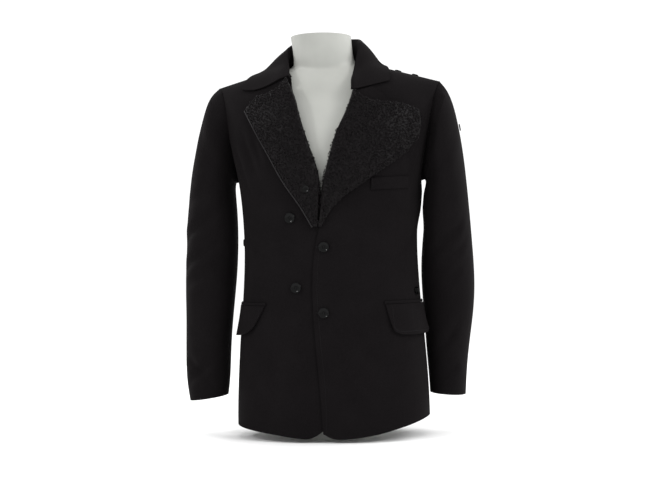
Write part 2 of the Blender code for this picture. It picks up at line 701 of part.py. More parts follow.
def back_panel(name, side):
    """Half of the back, from the side seam and armhole to the centre back seam."""
    sign = 1 if side == "left" else -1
    outer, inner = [], []
    for level in body_levels():
        seam = armhole_turn(level, "back") + math.degrees(SEAM / 2 / SIDE_RADIUS)
        centre = neck_turn(level)
        outer_row, inner_row = [], []
        for i in range(BACK_COLUMNS + 1):
            turn = sign * (seam + (centre - seam) * i / BACK_COLUMNS)
            fade = 1 - ease(level, 0.0, HEM_FADE)
            at = level + hem_height(turn) * fade
            outer_row.append(raised(turn, at, 0.0))
            inner_row.append(raised(turn, at, -WALL))
        outer.append(outer_row)
        inner.append(inner_row)
    wall(name, outer, inner, WOOL_BLACK)
    return np.array(outer), np.array(inner)


def armhole_ring(front, back):
    """The armhole's edge as one ring of points, from the shoulder over the front to the armpit and back."""
    first = len(body_levels()) - ARMHOLE_ROWS - 1
    front_edge = front[first:, -1][::-1]
    back_edge = back[first:, 0]
    shoulder = (front_edge[0] + back_edge[-1]) / 2
    armpit = (front_edge[-1] + back_edge[0]) / 2
    return np.array([shoulder, *front_edge[1:-1], armpit, *back_edge[1:-1]])


def grid_normals(grid, wrap, outward_from):
    """Unit normals of a grid, turned away from the given points."""
    down = np.gradient(grid, axis=0)
    if wrap:
        across = np.roll(grid, -1, axis=1) - np.roll(grid, 1, axis=1)
    else:
        across = np.gradient(grid, axis=1)
    normal = np.cross(across, down)
    normal /= np.linalg.norm(normal, axis=2, keepdims=True)
    facing = (normal * (grid - outward_from)).sum()
    return normal if facing > 0 else -normal


def crease_depth(creases, height, around):
    """How far in the creases push a sleeve's point."""
    depth = 0.0
    for crease in creases:
        off = (around - crease.around + 180.0) % 360.0 - 180.0
        across = (height - crease.height - crease.slope * off) / crease.half_width
        depth += crease.depth * math.exp(-across * across - (off / crease.reach) ** 2)
    return depth


def sleeve(name, side, armhole, armhole_inner, sections, creases):
    """A sleeve from the armhole ring to its open cuff."""
    sign = 1 if side == "left" else -1
    centre = armhole.mean(axis=0)
    centre[1] = armhole[0, 1]
    reach = np.abs(armhole[:, 1] - centre[1]).max()
    tall = (armhole[:, 2].max() - armhole[:, 2].min()) / 2
    middle = (armhole[:, 2].max() + armhole[:, 2].min()) / 2
    start_angles = np.degrees(np.arctan2(-(armhole[:, 1] - centre[1]) / reach, (armhole[:, 2] - middle) / tall))
    start_angles = np.mod(start_angles, 360.0)
    count = len(armhole)
    start_angles[0] = 0.0
    start_angles[count // 2 :] += np.where(start_angles[count // 2 :] < 90.0, 360.0, 0.0)
    even_angles = np.arange(count) * 360.0 / count
    away = armhole - armhole_inner
    away /= np.linalg.norm(away, axis=1, keepdims=True)
    around = np.roll(armhole, -1, axis=0) - np.roll(armhole, 1, axis=0)
    leave = np.cross(away, around)
    leave /= np.linalg.norm(leave, axis=1, keepdims=True)
    if (leave * (centre - armhole)).sum() < 0:
        leave = -leave
    rings = [armhole + leave * SLEEVE_LEAVE]
    centres = [centre + np.array((0.03 * sign, 0.0, 0.0))]
    for k, row in enumerate(sections):
        top = np.array((row.outer * sign, row.back, row.outer_height))
        low = np.array((row.inner * sign, row.back, row.inner_height))
        middle_point, outward = (top + low) / 2, (top - low) / 2
        blend = ease(k, -1, 8)
        angles = start_angles * (1 - blend) + even_angles * blend
        ring = []
        for angle in angles:
            cosine, sine = math.cos(math.radians(angle)), math.sin(math.radians(angle))
            out = outward * math.copysign(abs(cosine) ** SLEEVE_SQUARENESS, cosine)
            fore = np.array((0.0, -row.half_depth, 0.0)) * math.copysign(abs(sine) ** SLEEVE_SQUARENESS, sine)
            point = middle_point + out + fore
            inward = middle_point - point
            inward /= np.linalg.norm(inward)
            ring.append(point + inward * crease_depth(creases, point[2], angle))
        rings.append(np.array(ring))
        centres.append(middle_point)
    rings = np.array(rings)
    middles = np.array(centres)[:, None, :]
    normals = grid_normals(rings, True, middles)
    inner = rings - normals * WALL
    inner[0] = armhole_inner + leave * SLEEVE_LEAVE
    wall(name, rings, inner, WOOL_BLACK, wrap=True)
    return rings


def lapel_point(roll, outer, top, share_up, share_out):
    """Crosswise place and height on a lapel: share_up along the roll, share_out from it to the outer edge."""
    start, end = along(roll, share_up), along(outer, share_up)
    place = start + (end - start) * share_out
    corner_start, corner_end = along(roll, 1.0), along(outer, 1.0)
    straight = corner_start + (corner_end - corner_start) * share_out
    return place + (along(top, share_out) - straight) * share_up**5


def roll_frame(roll, share_up, sign):
    """Point of the panel at the roll, with its outward and its inward crosswise direction."""
    across, height = along(roll, share_up)
    turn, level = on_front(across, height)
    point = raised(turn, level, 0.0)
    beyond = front_at(across - sign * 0.004, height, 0.0)
    into = beyond - point
    return point, skin_normal(turn, level), into / np.linalg.norm(into)


def lapel_rows():
    """Shares along the roll for the lapel's rows, closer near the top."""
    return [LAPEL_FIRST + (1 - LAPEL_FIRST) * (j / LAPEL_ROWS) ** LAPEL_CROWDING for j in range(LAPEL_ROWS + 1)]


def roll_table(table):
    """The same places as a table of crosswise place and height."""
    return tuple(Place(row.across, row.height) for row in table)


def lapel_width(roll, outer, share_up):
    """Width of the lapel from its roll to its outer edge."""
    return float(np.linalg.norm(along(outer, share_up) - along(roll, share_up)))


def lapel_lift(share_out, width):
    """How far the lapel's underside stands off the front: it springs at the roll and lifts at its edge."""
    full = ease(width, 0.008, 0.060)
    return LEAF_GAP + full * (LAPEL_SPRING * ease(share_out, 0.0, 0.35) + LAPEL_LIFT * share_out**2)


def lapel_leaf(name, roll, outer, top):
    """The front's own wool, turned back under the pile facing."""
    over, under = [], []
    for share_up in lapel_rows():
        if share_up < LEAF_FOOT:
            continue
        over_row, under_row = [], []
        width = lapel_width(roll, outer, share_up)
        start = LEAF_START / width
        kept = (max(share, start + LEAF_COLUMN_STEP * (k + 1)) for k, share in enumerate(LAPEL_COLUMNS))
        columns = (start, *kept)
        for share_out in columns:
            place = lapel_point(roll, outer, top, share_up, share_out)
            lift = lapel_lift(share_out, width)
            turn, level = on_front(*place)
            under_row.append(raised(turn, level, lift))
            over_row.append(raised(turn, level, lift + LEAF_THICKNESS))
        over.append(over_row)
        under.append(under_row)
    wall(name, over, under, WOOL_BLACK)


def lapel_facing(name, side, roll, outer, top, margin, turn_from):
    """The curly pile facing: above turn_from it goes round the roll, and it covers the lapel to its edge."""
    sign = 1 if side == "left" else -1
    over, under = [], []
    for share_up in lapel_rows():
        point, normal, into = roll_frame(roll, share_up, sign)
        width = lapel_width(roll, outer, share_up)
        edge = point - into * ROLL_INSET
        turned = ease(share_up, turn_from - FACING_TURN_SPAN, turn_from)
        tuck = FACING_LEAST_TUCK + (1 - FACING_LEAST_TUCK) * turned
        low = FACING_END - FACING_END_DROP * ease(share_up, turn_from, turn_from + FACING_TURN_SPAN)
        end, side, crown = (into * beyond * tuck for beyond in FACING_BEYOND)
        over_row = [
            edge + end + normal * low,
            edge + side + normal * FACING_OUT[0],
            edge + crown + normal * FACING_OUT[1],
        ]
        under_row = [
            edge + end - into * FACING_WALL + normal * low,
            edge + side - into * FACING_WALL + normal * FACING_UNDER_OUT[0],
            edge + into * FACING_UNDER_BEYOND * tuck + normal * FACING_UNDER_OUT[1],
        ]
        for share_out in LAPEL_COLUMNS:
            share = share_out * max(1 - margin / max(width, 0.004), 0.75)
            place = lapel_point(roll, outer, top, share_up, share)
            lift = lapel_lift(share, width) + LEAF_THICKNESS + PILE_GAP
            thick = PILE_THICKNESS * (0.55 if share_out == 1.0 else 1.0)
            thick *= 0.5 + 0.5 * ease(width, 0.004, 0.030)
            turn, level = on_front(*place)
            under_row.append(raised(turn, level, lift))
            over_row.append(raised(turn, level, lift + thick))
        over.append(over_row)
        under.append(under_row)
    wall(name, over, under, PILE_BLACK)


def tube(name, points, radius, sides, finish):
    """A closed round cord through the points."""
    points = np.asarray(points)
    tangents = np.gradient(points, axis=0)
    tangents /= np.linalg.norm(tangents, axis=1, keepdims=True)
    reference = np.array((0.0, -1.0, 0.0))
    rings = []
    for point, tangent in zip(points, tangents):
        side = np.cross(tangent, reference)
        side /= np.linalg.norm(side)
        other = np.cross(tangent, side)
        ring = []
        for k in range(sides):
            angle = 2 * math.pi * k / sides
            ring.append(point + radius * (side * math.cos(angle) + other * math.sin(angle)))
        rings.append(ring)
    faces = grid_faces(len(points), sides, 0, True, False)
    last = (len(points) - 1) * sides
    faces.append(tuple(range(sides)))
    faces.append(tuple(last + k for k in range(sides)))
    make_object(name, np.array(rings).reshape(-1, 3), faces, finish)


def lapel_piping(name, roll, outer, top):
    """The covered cord along the outer edge of the wearer's right lapel."""
    points = []
    step = 0.01
    for share_up in lapel_rows():
        width = lapel_width(roll, outer, share_up)
        here = lapel_point(roll, outer, top, share_up, 1.0)
        higher = lapel_point(roll, outer, top, share_up + step, 1.0)
        up = higher - lapel_point(roll, outer, top, share_up - step, 1.0)
        away = np.array((-up[1], up[0])) / np.linalg.norm(up)
        place = here + away * (PIPING_RADIUS + 2 * SEAM)
        lift = PIPING_RADIUS + lapel_lift(1.0, width)
        points.append(front_at(place[0], place[1], lift))
    tube(name, points, PIPING_RADIUS, 8, LEATHER_BLACK)


class SkinSearch:
    """Finds the body's point that is nearest to a place over the shoulders or the chest."""

    def __init__(self):
        self.spots = [
            (sign * turn, level)
            for sign in (-1, 1)
            for turn in np.linspace(8.0, 179.0, 70)
            for level in np.linspace(0.50, TOP_LEVEL, 40)
        ]
        self.points = np.array([skin(*spot) for spot in self.spots])

    def nearest(self, place):
        """Turn and level of the nearest point, refined by halving steps."""
        k = int(((self.points - place) ** 2).sum(axis=1).argmin())
        turn, level = self.spots[k]
        turn_step, level_step = 1.2, 0.0025
        best = np.linalg.norm(skin(turn, level) - place)
        for _ in range(40):
            moved = False
            for dt, dl in ((turn_step, 0), (-turn_step, 0), (0, level_step), (0, -level_step)):
                other = (turn + dt, min(level + dl, TOP_LEVEL))
                distance = np.linalg.norm(skin(*other) - place)
                if distance < best:
                    best, (turn, level), moved = distance, other, True
            if not moved:
                turn_step, level_step = turn_step / 2, level_step / 2
        return turn, level

    def cleared(self, place, clearance):
        """The place itself, or moved out until it is that far over the body."""
        turn, level = self.nearest(place)
        foot, normal = skin(turn, level), skin_normal(turn, level)
        above = float(np.dot(place - foot, normal))
        if above >= clearance:
            return place
        return place + normal * (clearance - above)


def collar_column(name, share):
    """One column of the collar's table, at a share of the way round."""
    return smooth(list(range(len(COLLAR))), [getattr(row, name) for row in COLLAR], share * (len(COLLAR) - 1))


def collar(search):
    """The collar: a stand round the neck that turns over into a fall on the shoulders."""
    axis = np.array(COLLAR_AXIS)
    clear = COLLAR_WALL + COLLAR_GAP
    grid = []
    for station in range(COLLAR_STATIONS):
        share = station / (COLLAR_STATIONS - 1)
        fold = np.array([collar_column(key, share) for key in ("fold_x", "fold_y", "fold_z")])
        edge = np.array([collar_column(key, share) for key in ("edge_x", "edge_y", "edge_z")])
        stand, sag = collar_column("stand", share), collar_column("sag", share)
        outward = edge - fold
        outward[2] = 0.0
        outward /= np.linalg.norm(outward)
        from_axis = fold - axis
        from_axis[2] = 0.0
        from_axis /= np.linalg.norm(from_axis)
        end = 1 - ease(min(share, 1 - share), 0.0, COLLAR_END)
        down = np.array((0.0, COLLAR_END_LEAN[0] * end, COLLAR_END_LEAN[1] * end - 1.0))
        down /= np.linalg.norm(down)
        row = [fold + down * (stand * at.stand_share + at.down) + outward * at.out for at in COLLAR_FOLDS]
        row[0] = row[0] + from_axis * STAND_LEAN * (1 - end)
        for share_out in COLLAR_FALL:
            place = fold + (edge - fold) * share_out
            place = place + np.array((0.0, 0.0, -sag * math.sin(math.pi * share_out)))
            bulge = COLLAR_BULGE * math.sin(math.pi * min(share_out * 1.1, 1.0)) * (1 - end)
            place = place + (outward * 0.6 + np.array((0.0, 0.0, 0.8))) * bulge
            row.append(place)
        grid.append(row)
    drawn = np.array(grid)
    grid = drawn.copy()
    for station in range(COLLAR_STATIONS):
        for i in range(grid.shape[1]):
            grid[station, i] = search.cleared(grid[station, i], clear)
    for station in range(COLLAR_STATIONS - 1):
        for i in range(grid.shape[1] - 1):
            cell = grid[station : station + 2, i : i + 2]
            middle = cell.mean(axis=(0, 1))
            cell += search.cleared(middle, clear) - middle
    moved = grid - drawn
    moved[1:-1] = 0.25 * moved[:-2] + 0.5 * moved[1:-1] + 0.25 * moved[2:]
    grid = drawn + moved
    down_dir = np.gradient(grid, axis=0)
    across_dir = np.gradient(grid, axis=1)
    normals = np.cross(across_dir, down_dir)
    normals /= np.linalg.norm(normals, axis=2, keepdims=True)
    if normals[COLLAR_STATIONS // 2, -2, 1] < 0:
        normals = -normals
    wall("collar", grid, grid - normals * COLLAR_WALL, WOOL_BLACK)


def patch(name, corners, rows, columns, low, high, finish, bow):
    """A small wall on the front between four corners: top front, top back, bottom back, bottom front."""
    a, b, c, d = [np.array(corner) for corner in corners]
    outer, inner = [], []
    for j in range(rows + 1):
        outer_row, inner_row = [], []
        for i in range(columns + 1):
            u, v = i / columns, j / rows
            place = (a * (1 - u) + b * u) * (1 - v) + (d * (1 - u) + c * u) * v
            crown = bow * math.sin(math.pi * u) * math.sin(math.pi * v)
            outer_row.append(front_at(place[0], place[1], high + crown))
            inner_row.append(front_at(place[0], place[1], low))
        outer.append(outer_row)
        inner.append(inner_row)
    wall(name, outer, inner, finish)


def flap(row):
    """A pocket flap that hangs from its jet and stands off the body at its lower edge."""
    sign = 1 if row.side == "left" else -1
    outer, inner = [], []
    for j in range(FLAP_ROWS + 1):
        outer_row, inner_row = [], []
        v = j / FLAP_ROWS
        for i in range(FLAP_COLUMNS + 1):
            u = i / FLAP_COLUMNS
            top_turn = row.top_front + (row.top_back - row.top_front) * u
            low_turn = row.bottom_front + (row.bottom_back - row.bottom_front) * u
            turn = top_turn + (low_turn - top_turn) * v
            drop = (row.front_drop + (row.back_drop - row.front_drop) * u) * v
            rounding = FLAP_ROUNDING * v**6 * ((1 - u) ** 10 + u**10)
            lift = FLAP_STANDOFF + FLAP_LIFT * v**1.5 * (0.55 + 0.45 * ease(u, 0.2, 0.9))
            level = row.top_height - drop + rounding
            outer_row.append(raised(sign * turn, level, lift + FLAP_THICKNESS))
            inner_row.append(raised(sign * turn, level, lift))
        outer.append(outer_row)
        inner.append(inner_row)
    wall("flap_" + row.side, outer, inner, WOOL_BLACK)


def jet(row):
    """The narrow jet over a flap."""
    sign = 1 if row.side == "left" else -1
    outer, inner = [], []
    for height, thick in JET_PROFILE:
        outer_row, inner_row = [], []
        for i in range(JET_COLUMNS + 1):
            turn = row.top_front - JET_OVERHANG + (row.top_back - row.top_front) * i / JET_COLUMNS
            level = row.top_height + SEAM * 2 + JET_HEIGHT * height
            outer_row.append(raised(sign * turn, level, JET_STANDOFF + thick))
            inner_row.append(raised(sign * turn, level, JET_STANDOFF))
        outer.append(outer_row)
        inner.append(inner_row)
    wall("jet_" + row.side, outer, inner, WOOL_BLACK)


def button(name, point, normal, diameter):
    """A turned button with a raised rim and a dished middle, square to the cloth."""
    radius = diameter / 2
    thick = LARGE_BUTTON_THICKNESS if diameter > LARGE_BUTTON else SMALL_BUTTON_THICKNESS
    turned = Vector(normal).to_track_quat("Z", "Y")
    base = Vector(point) + Vector(normal) * BUTTON_STANDOFF
    points = []
    for reach, height in BUTTON_PROFILE:
        for k in range(BUTTON_SIDES):
            angle = 2 * math.pi * k / BUTTON_SIDES
            across = radius * reach
            local = Vector((across * math.cos(angle), across * math.sin(angle), thick * height))
            points.append(base + turned @ local)
    faces = grid_faces(len(BUTTON_PROFILE), BUTTON_SIDES, 0, True, False)
    faces.append(tuple(range(BUTTON_SIDES)))
    faces.append(tuple((len(BUTTON_PROFILE) - 1) * BUTTON_SIDES + k for k in range(BUTTON_SIDES)))
    make_object(name, points, faces, BUTTON_BLACK)


def front_buttons():
    """The buttons that lie on the fronts and on the wearer's right lapel."""
    for row in FRONT_BUTTONS:
        turn, level = on_front(row.across, row.height)
        above = 0.0
        if row.name == "button_lapel":
            above = lapel_lift(0.45, 0.060) + LEAF_THICKNESS + PILE_GAP + PILE_THICKNESS + SEAM
        button(row.name, raised(turn, level, above), skin_normal(turn, level), row.diameter)
    for row in SIDE_BUTTONS:
        point = raised(row.turn, row.level, 0.0)
        button(row.name, point, skin_normal(row.turn, row.level), row.diameter)


def shoulder_buttons(search):
    """Two small buttons on the wearer's left shoulder, just behind its seam."""
    for row in SHOULDER_BUTTONS:
        over = np.array((row.across, SHOULDER_SEAM_Y + row.behind, NECK_POINT[1]))
        turn, level = search.nearest(over)
        button(row.name, skin(turn, level), skin_normal(turn, level), row.diameter)


def sleeve_button(rings):
    """The small button on the outer line of the wearer's left sleeve."""
    outer_line = rings[:, 0]
    k = int(np.abs(outer_line[:, 2] - SLEEVE_BUTTON_HEIGHT).argmin())
    step = outer_line[k + 1] - outer_line[k]
    share = (SLEEVE_BUTTON_HEIGHT - outer_line[k][2]) / step[2]
    if share < 0:
        step = outer_line[k] - outer_line[k - 1]
        share = (SLEEVE_BUTTON_HEIGHT - outer_line[k][2]) / step[2]
    point = outer_line[k] + step * share
    down = step / np.linalg.norm(step)
    normal = np.cross(down, np.array((0.0, 1.0, 0.0)))
    normal = normal if normal[0] > 0 else -normal
    button("button_sleeve", point + normal * SEAM, normal, SLEEVE_BUTTON_DIAMETER)


def dress_form():
    """The limbless form: torso, flat-topped neck and a round foot, one smooth closed body."""
    points, faces = [], []
    heights = [row.height for row in FORM_RINGS]
    for row in FORM_RINGS:
        for k in range(FORM_SIDES):
            turn = 360.0 * k / FORM_SIDES - 180.0
            depth = row.front if abs(turn) < 90 else row.back
            x, y = ring_point(row.half_width, depth, row.square, turn)
            points.append((x + row.across, y, row.height))
    faces += grid_faces(len(heights), FORM_SIDES, 0, True, False)
    faces.append(tuple(range(FORM_SIDES)))
    faces.append(tuple((len(heights) - 1) * FORM_SIDES + k for k in range(FORM_SIDES)))
    make_object("dress_form", points, faces, FORM_PALE)


def build():
    """Make every piece of the garment and the form."""
    clear_scene()
    search = SkinSearch()
    dress_form()
    panels = {
        (kind, side): (front_panel if kind == "front" else back_panel)(f"{kind}_{side}", side)
        for kind in ("front", "back")
        for side in ("left", "right")
    }
    rings = {}
    for side, sections, creases in (
        ("left", LEFT_SLEEVE, LEFT_CREASES),
        ("right", RIGHT_SLEEVE, RIGHT_CREASES),
    ):
        front, back = panels["front", side], panels["back", side]
        outer = armhole_ring(front[0], back[0])
        inner = armhole_ring(front[1], back[1])
        rings[side] = sleeve(f"sleeve_{side}", side, outer, inner, sections, creases)
    left_roll, right_roll = roll_table(LEFT_ROLL), roll_table(RIGHT_ROLL)
    lapel_leaf("lapel_left", left_roll, LEFT_LAPEL_OUTER, LEFT_LEAF_TOP)
    lapel_leaf("lapel_right", right_roll, RIGHT_LAPEL_OUTER, RIGHT_LAPEL_TOP)
    lapel_facing("facing_left", "left", left_roll, LEFT_LAPEL_OUTER, LEFT_LAPEL_TOP, 0.0015, 0.20)
    lapel_facing("facing_right", "right", right_roll, RIGHT_LAPEL_OUTER, RIGHT_LAPEL_TOP, 0.0006, 0.34)
    lapel_piping("lapel_piping", right_roll, RIGHT_LAPEL_OUTER, RIGHT_LAPEL_TOP)
    collar(search)
    patch("welt_pocket", WELT_CORNERS, 2, 6, WELT_LOW, WELT_HIGH, WOOL_BLACK, WELT_BOW)
    for row in FLAPS:
        flap(row)
        jet(row)
    front_buttons()
    shoulder_buttons(search)
    sleeve_button(rings["left"])


build()
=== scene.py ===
"""Looks of a black wool blazer with curly pile lapels, worn by a pale limbless dress form.

Every cloth piece is a thin shell grown from its own solid, refined and draped with soft creases. The pile is
a crowd of small yarn loops, and the buttons, threads and piping are modelled at their real sizes.
"""

import itertools
import logging
import math
import operator
import random
from dataclasses import dataclass, field
from enum import Enum
from typing import Any, Callable, Iterable, Sequence

import bmesh
import bpy
from mathutils import Matrix, Vector, noise
from mathutils.bvhtree import BVHTree


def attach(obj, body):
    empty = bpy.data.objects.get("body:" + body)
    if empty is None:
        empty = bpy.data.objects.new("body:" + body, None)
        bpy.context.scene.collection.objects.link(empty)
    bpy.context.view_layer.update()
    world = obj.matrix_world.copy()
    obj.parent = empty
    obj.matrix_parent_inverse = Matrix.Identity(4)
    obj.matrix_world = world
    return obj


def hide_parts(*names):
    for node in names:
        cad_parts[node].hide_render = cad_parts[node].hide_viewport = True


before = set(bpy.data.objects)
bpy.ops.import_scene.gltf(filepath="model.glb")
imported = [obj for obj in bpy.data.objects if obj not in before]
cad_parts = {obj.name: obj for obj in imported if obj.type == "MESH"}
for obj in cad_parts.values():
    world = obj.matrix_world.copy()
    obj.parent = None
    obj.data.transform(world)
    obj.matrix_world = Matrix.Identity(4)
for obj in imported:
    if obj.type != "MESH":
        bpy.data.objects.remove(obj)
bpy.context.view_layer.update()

LOG = logging.getLogger("blazer")

Object = bpy.types.Object
Material = bpy.types.Material
Socket = bpy.types.NodeSocket
# A place on a surface with its normal
Spot = tuple[Vector, Vector]

BODY = "root"
MM = 0.001
SEED = 41

# The photograph's frame and the camera that took it, worked out from the garment's own sizes
PHOTO_WIDTH = 670
METRES_PER_PIXEL = 0.00195
CAMERA_DISTANCE = 2.6
CAMERA_TARGET = Vector((0.0, 0.0, 0.36))
CAMERA_AZIMUTH = 7.5
CAMERA_ROLL = -1.0
CAMERA_SHIFT_PIXELS = 4.0
SENSOR_WIDTH = 36.0

# Where the lights look, and how bright the white surroundings are
LIGHT_TARGET = Vector((0.0, 0.0, 0.42))
WORLD_STRENGTH = 1.12
FLOOR_RADIUS = 60.0


class Hold(Enum):
    """How a cut piece of cloth is held."""

    DRAPED = "draped"
    HUNG = "hung"
    FOLDED = "folded"
    LAID = "laid"


class Side(Enum):
    """The wearer's side, as the sign of X."""

    LEFT = 1
    RIGHT = -1


def linear(hex_colour: str) -> tuple[float, ...]:
    """Turn an sRGB colour such as "#1b191a" into linear red, green, blue and alpha, as a shader takes it."""
    channels = [int(hex_colour[i : i + 2], 16) / 255 for i in (1, 3, 5)]
    return (*(c / 12.92 if c <= 0.04045 else ((c + 0.055) / 1.055) ** 2.4 for c in channels), 1.0)


def ease(value: float, low: float, high: float) -> float:
    """Step smoothly from 0 where the value is low to 1 where it is high."""
    share = min(max((value - low) / (high - low), 0.0), 1.0)
    return share * share * (3 - 2 * share)


class Shading:
    """A material in the making, which reads the piece's own object coordinates."""

    def __init__(self, name: str) -> None:
        """Start the material.

        Args:
            name: The real material's name.
        """
        self.material = bpy.data.materials.new(name)
        self.material.use_nodes = True
        self.shader = self.material.node_tree.nodes["Principled BSDF"]
        self.place = self.add("ShaderNodeTexCoord", {}).outputs["Object"]

    def set(self, node: bpy.types.Node, inputs: dict[Any, Any]) -> None:
        """Give a node its values and links.

        Args:
            node: The node.
            inputs: Values or output sockets, by input name or number.
        """
        for name, value in inputs.items():
            if isinstance(value, Socket):
                self.material.node_tree.links.new(value, node.inputs[name])
            else:
                node.inputs[name].default_value = value

    def add(self, kind: str, inputs: dict[Any, Any], **settings: Any) -> bpy.types.Node:
        """Add a node.

        Args:
            kind: The node's Blender type.
            inputs: Its values or links, by input name or number.
            settings: Its attributes.

        Returns:
            The new node.
        """
        node = self.material.node_tree.nodes.new(kind)
        for name, value in settings.items():
            setattr(node, name, value)
        self.set(node, inputs)
        return node

    def noise(self, size_mm: float, **inputs: float) -> Socket:
        """Add a noise whose features are that many millimetres across."""
        scaled = {"Vector": self.place, "Scale": 1000.0 / size_mm, **inputs}
        return self.add("ShaderNodeTexNoise", scaled).outputs["Fac"]

    def tint(self, share: Socket, dark: tuple[float, str], light: tuple[float, str]) -> None:
        """Colour the surface by a share.

        Args:
            share: What chooses between the two tones.
            dark: The share at which the dark tone ends, and the tone.
            light: The share at which the light tone begins, and the tone.
        """
        ramp = self.add("ShaderNodeValToRGB", {"Fac": share})
        for stop, (position, tone) in zip(ramp.color_ramp.elements, (dark, light)):
            stop.position = position
            stop.color = linear(tone)
        self.set(self.shader, {"Base Color": ramp.outputs["Color"]})

    def relief(self, height: Socket, strength: float, depth_mm: float) -> None:
        """Give the surface a fine relief of that strength and depth."""
        bump = self.add("ShaderNodeBump", {"Height": height, "Strength": strength, "Distance": depth_mm * MM})
        self.set(self.shader, {"Normal": bump.outputs["Normal"]})

    def spread(self, share: Socket, span: tuple[float, float], low: float, high: float) -> Socket:
        """Map a span of a share onto the values from low to high."""
        ends = {"From Min": span[0], "From Max": span[1], "To Min": low, "To Max": high}
        return self.add("ShaderNodeMapRange", {"Value": share, **ends}).outputs["Result"]

    def finish(self, roughness: float | Socket, specular: float = 0.5) -> Material:
        """Say how rough and how reflective the surface is, and hand over the material."""
        self.set(self.shader, {"Roughness": roughness, "Specular IOR Level": specular})
        return self.material


@dataclass(frozen=True)
class MeltonWool:
    """Melton wool: woven, fulled until no thread shows, then brushed. Matte, with a faint pale nap."""

    # Black dyed wool, a little warm, and the paler tone of fibres that stand up
    ground: str = "#0b090a"
    raised_fibre: str = "#131112"
    # The real felt has 0.4 mm fibre clumps, drawn at 1.6 mm so that they show in the render
    clump_mm: float = 1.6
    # Soft unevenness that pressing and handling leave, and its weight in the tone
    handling_mm: float = 60.0
    handling_weight: float = 0.35
    roughness: float = 0.94
    specular: float = 0.045
    nap_weight: float = 0.032
    nap_tint: str = "#8f8889"

    def build(self) -> Material:
        """Make the material.

        Returns:
            The finished material.
        """
        make = Shading("melton_wool_black")
        felt = make.noise(self.clump_mm, Detail=3.0, Roughness=0.62)
        handled = make.noise(self.handling_mm, Detail=2.0)
        weighed = {0: handled, 1: self.handling_weight, 2: felt}
        both = make.add("ShaderNodeMath", weighed, operation="MULTIPLY_ADD").outputs[0]
        make.tint(both, (0.45, self.ground), (0.92, self.raised_fibre))
        make.relief(felt, 0.55, 0.5)
        nap = {"Sheen Weight": self.nap_weight, "Sheen Roughness": 0.55, "Sheen Tint": linear(self.nap_tint)}
        make.set(make.shader, nap)
        return make.finish(self.roughness, self.specular)


@dataclass(frozen=True)
class CurlyPile:
    """Curly pile: mohair yarn steamed into tight curls, softly glossy on each crown, deep black between."""

    crown: str = "#120e10"
    depth: str = "#030202"
    # The single curls are 5 mm, and the yarn that each is made of is about 1 mm
    yarn_mm: float = 1.0
    roughness: float = 0.44
    specular: float = 0.105

    def build(self) -> Material:
        """Make the material.

        Returns:
            The finished material.
        """
        make = Shading("curly_mohair_pile_black")
        yarn = make.noise(self.yarn_mm, Detail=2.0)
        make.tint(yarn, (0.34, self.depth), (0.66, self.crown))
        make.relief(yarn, 0.7, 0.4)
        return make.finish(self.roughness, self.specular)


@dataclass(frozen=True)
class PipingLeather:
    """Piping leather: dyed lamb nappa wrapped round a cord, rolled smooth, with fine pores and some sheen."""

    skin: str = "#141213"
    pore: str = "#0b0a0a"
    # Nappa grain is about 0.3 mm, drawn at 0.9 mm to show
    grain_mm: float = 0.9
    # Rubbed shiny in stretches of about 35 mm, and how much rougher it is between them
    polish_mm: float = 35.0
    roughness: float = 0.26
    unpolished: float = 2.6
    specular: float = 0.20

    def build(self) -> Material:
        """Make the material.

        Returns:
            The finished material.
        """
        make = Shading("nappa_leather_black")
        cells = make.add("ShaderNodeTexVoronoi", {"Vector": make.place, "Scale": 1000.0 / self.grain_mm})
        grain = cells.outputs["Distance"]
        make.tint(grain, (0.05, self.pore), (0.45, self.skin))
        make.relief(grain, 0.25, 0.2)
        worn = make.noise(self.polish_mm, Detail=1.0)
        rough = make.spread(worn, (0.35, 0.65), self.roughness, self.roughness * self.unpolished)
        return make.finish(rough, self.specular)


@dataclass(frozen=True)
class ButtonResin:
    """Button resin: cast polyester, turned and tumbled to a high gloss, with light scuffs on the rim."""

    body: str = "#030303"
    scuff: str = "#070708"
    scuff_mm: float = 2.2
    roughness: float = 0.13
    specular: float = 0.13

    def build(self) -> Material:
        """Make the material.

        Returns:
            The finished material.
        """
        make = Shading("polyester_resin_black")
        scuffs = make.noise(self.scuff_mm, Detail=5.0)
        make.tint(scuffs, (0.45, self.body), (0.75, self.scuff))
        rough = make.spread(scuffs, (0.0, 1.0), self.roughness * 0.8, self.roughness * 1.8)
        return make.finish(rough, self.specular)


@dataclass(frozen=True)
class SewingThread:
    """Sewing thread: spun polyester, two plies twisted, slightly glossier than the wool it sits in."""

    ply: str = "#100f10"
    # The hollow tone is painted shade in the grooves between the twisted plies; the ply tone is the thread's
    # own colour
    hollow: str = "#070607"
    # The plies turn every 0.6 mm, drawn at 1.2 mm. A wave texture has about six bands in a unit of scale
    twist_mm: float = 1.2
    bands: float = 6.0
    roughness: float = 0.58
    specular: float = 0.14

    def build(self) -> Material:
        """Make the material.

        Returns:
            The finished material.
        """
        make = Shading("polyester_thread_black")
        scaled = {"Vector": make.place, "Scale": 1000.0 / self.twist_mm / self.bands, "Distortion": 0.6}
        plies = make.add("ShaderNodeTexWave", scaled, bands_direction="DIAGONAL")
        # The wave's darker bands are painted shade along the grooves of the twist
        make.tint(plies.outputs["Fac"], (0.0, self.hollow), (1.0, self.ply))
        return make.finish(self.roughness, self.specular)


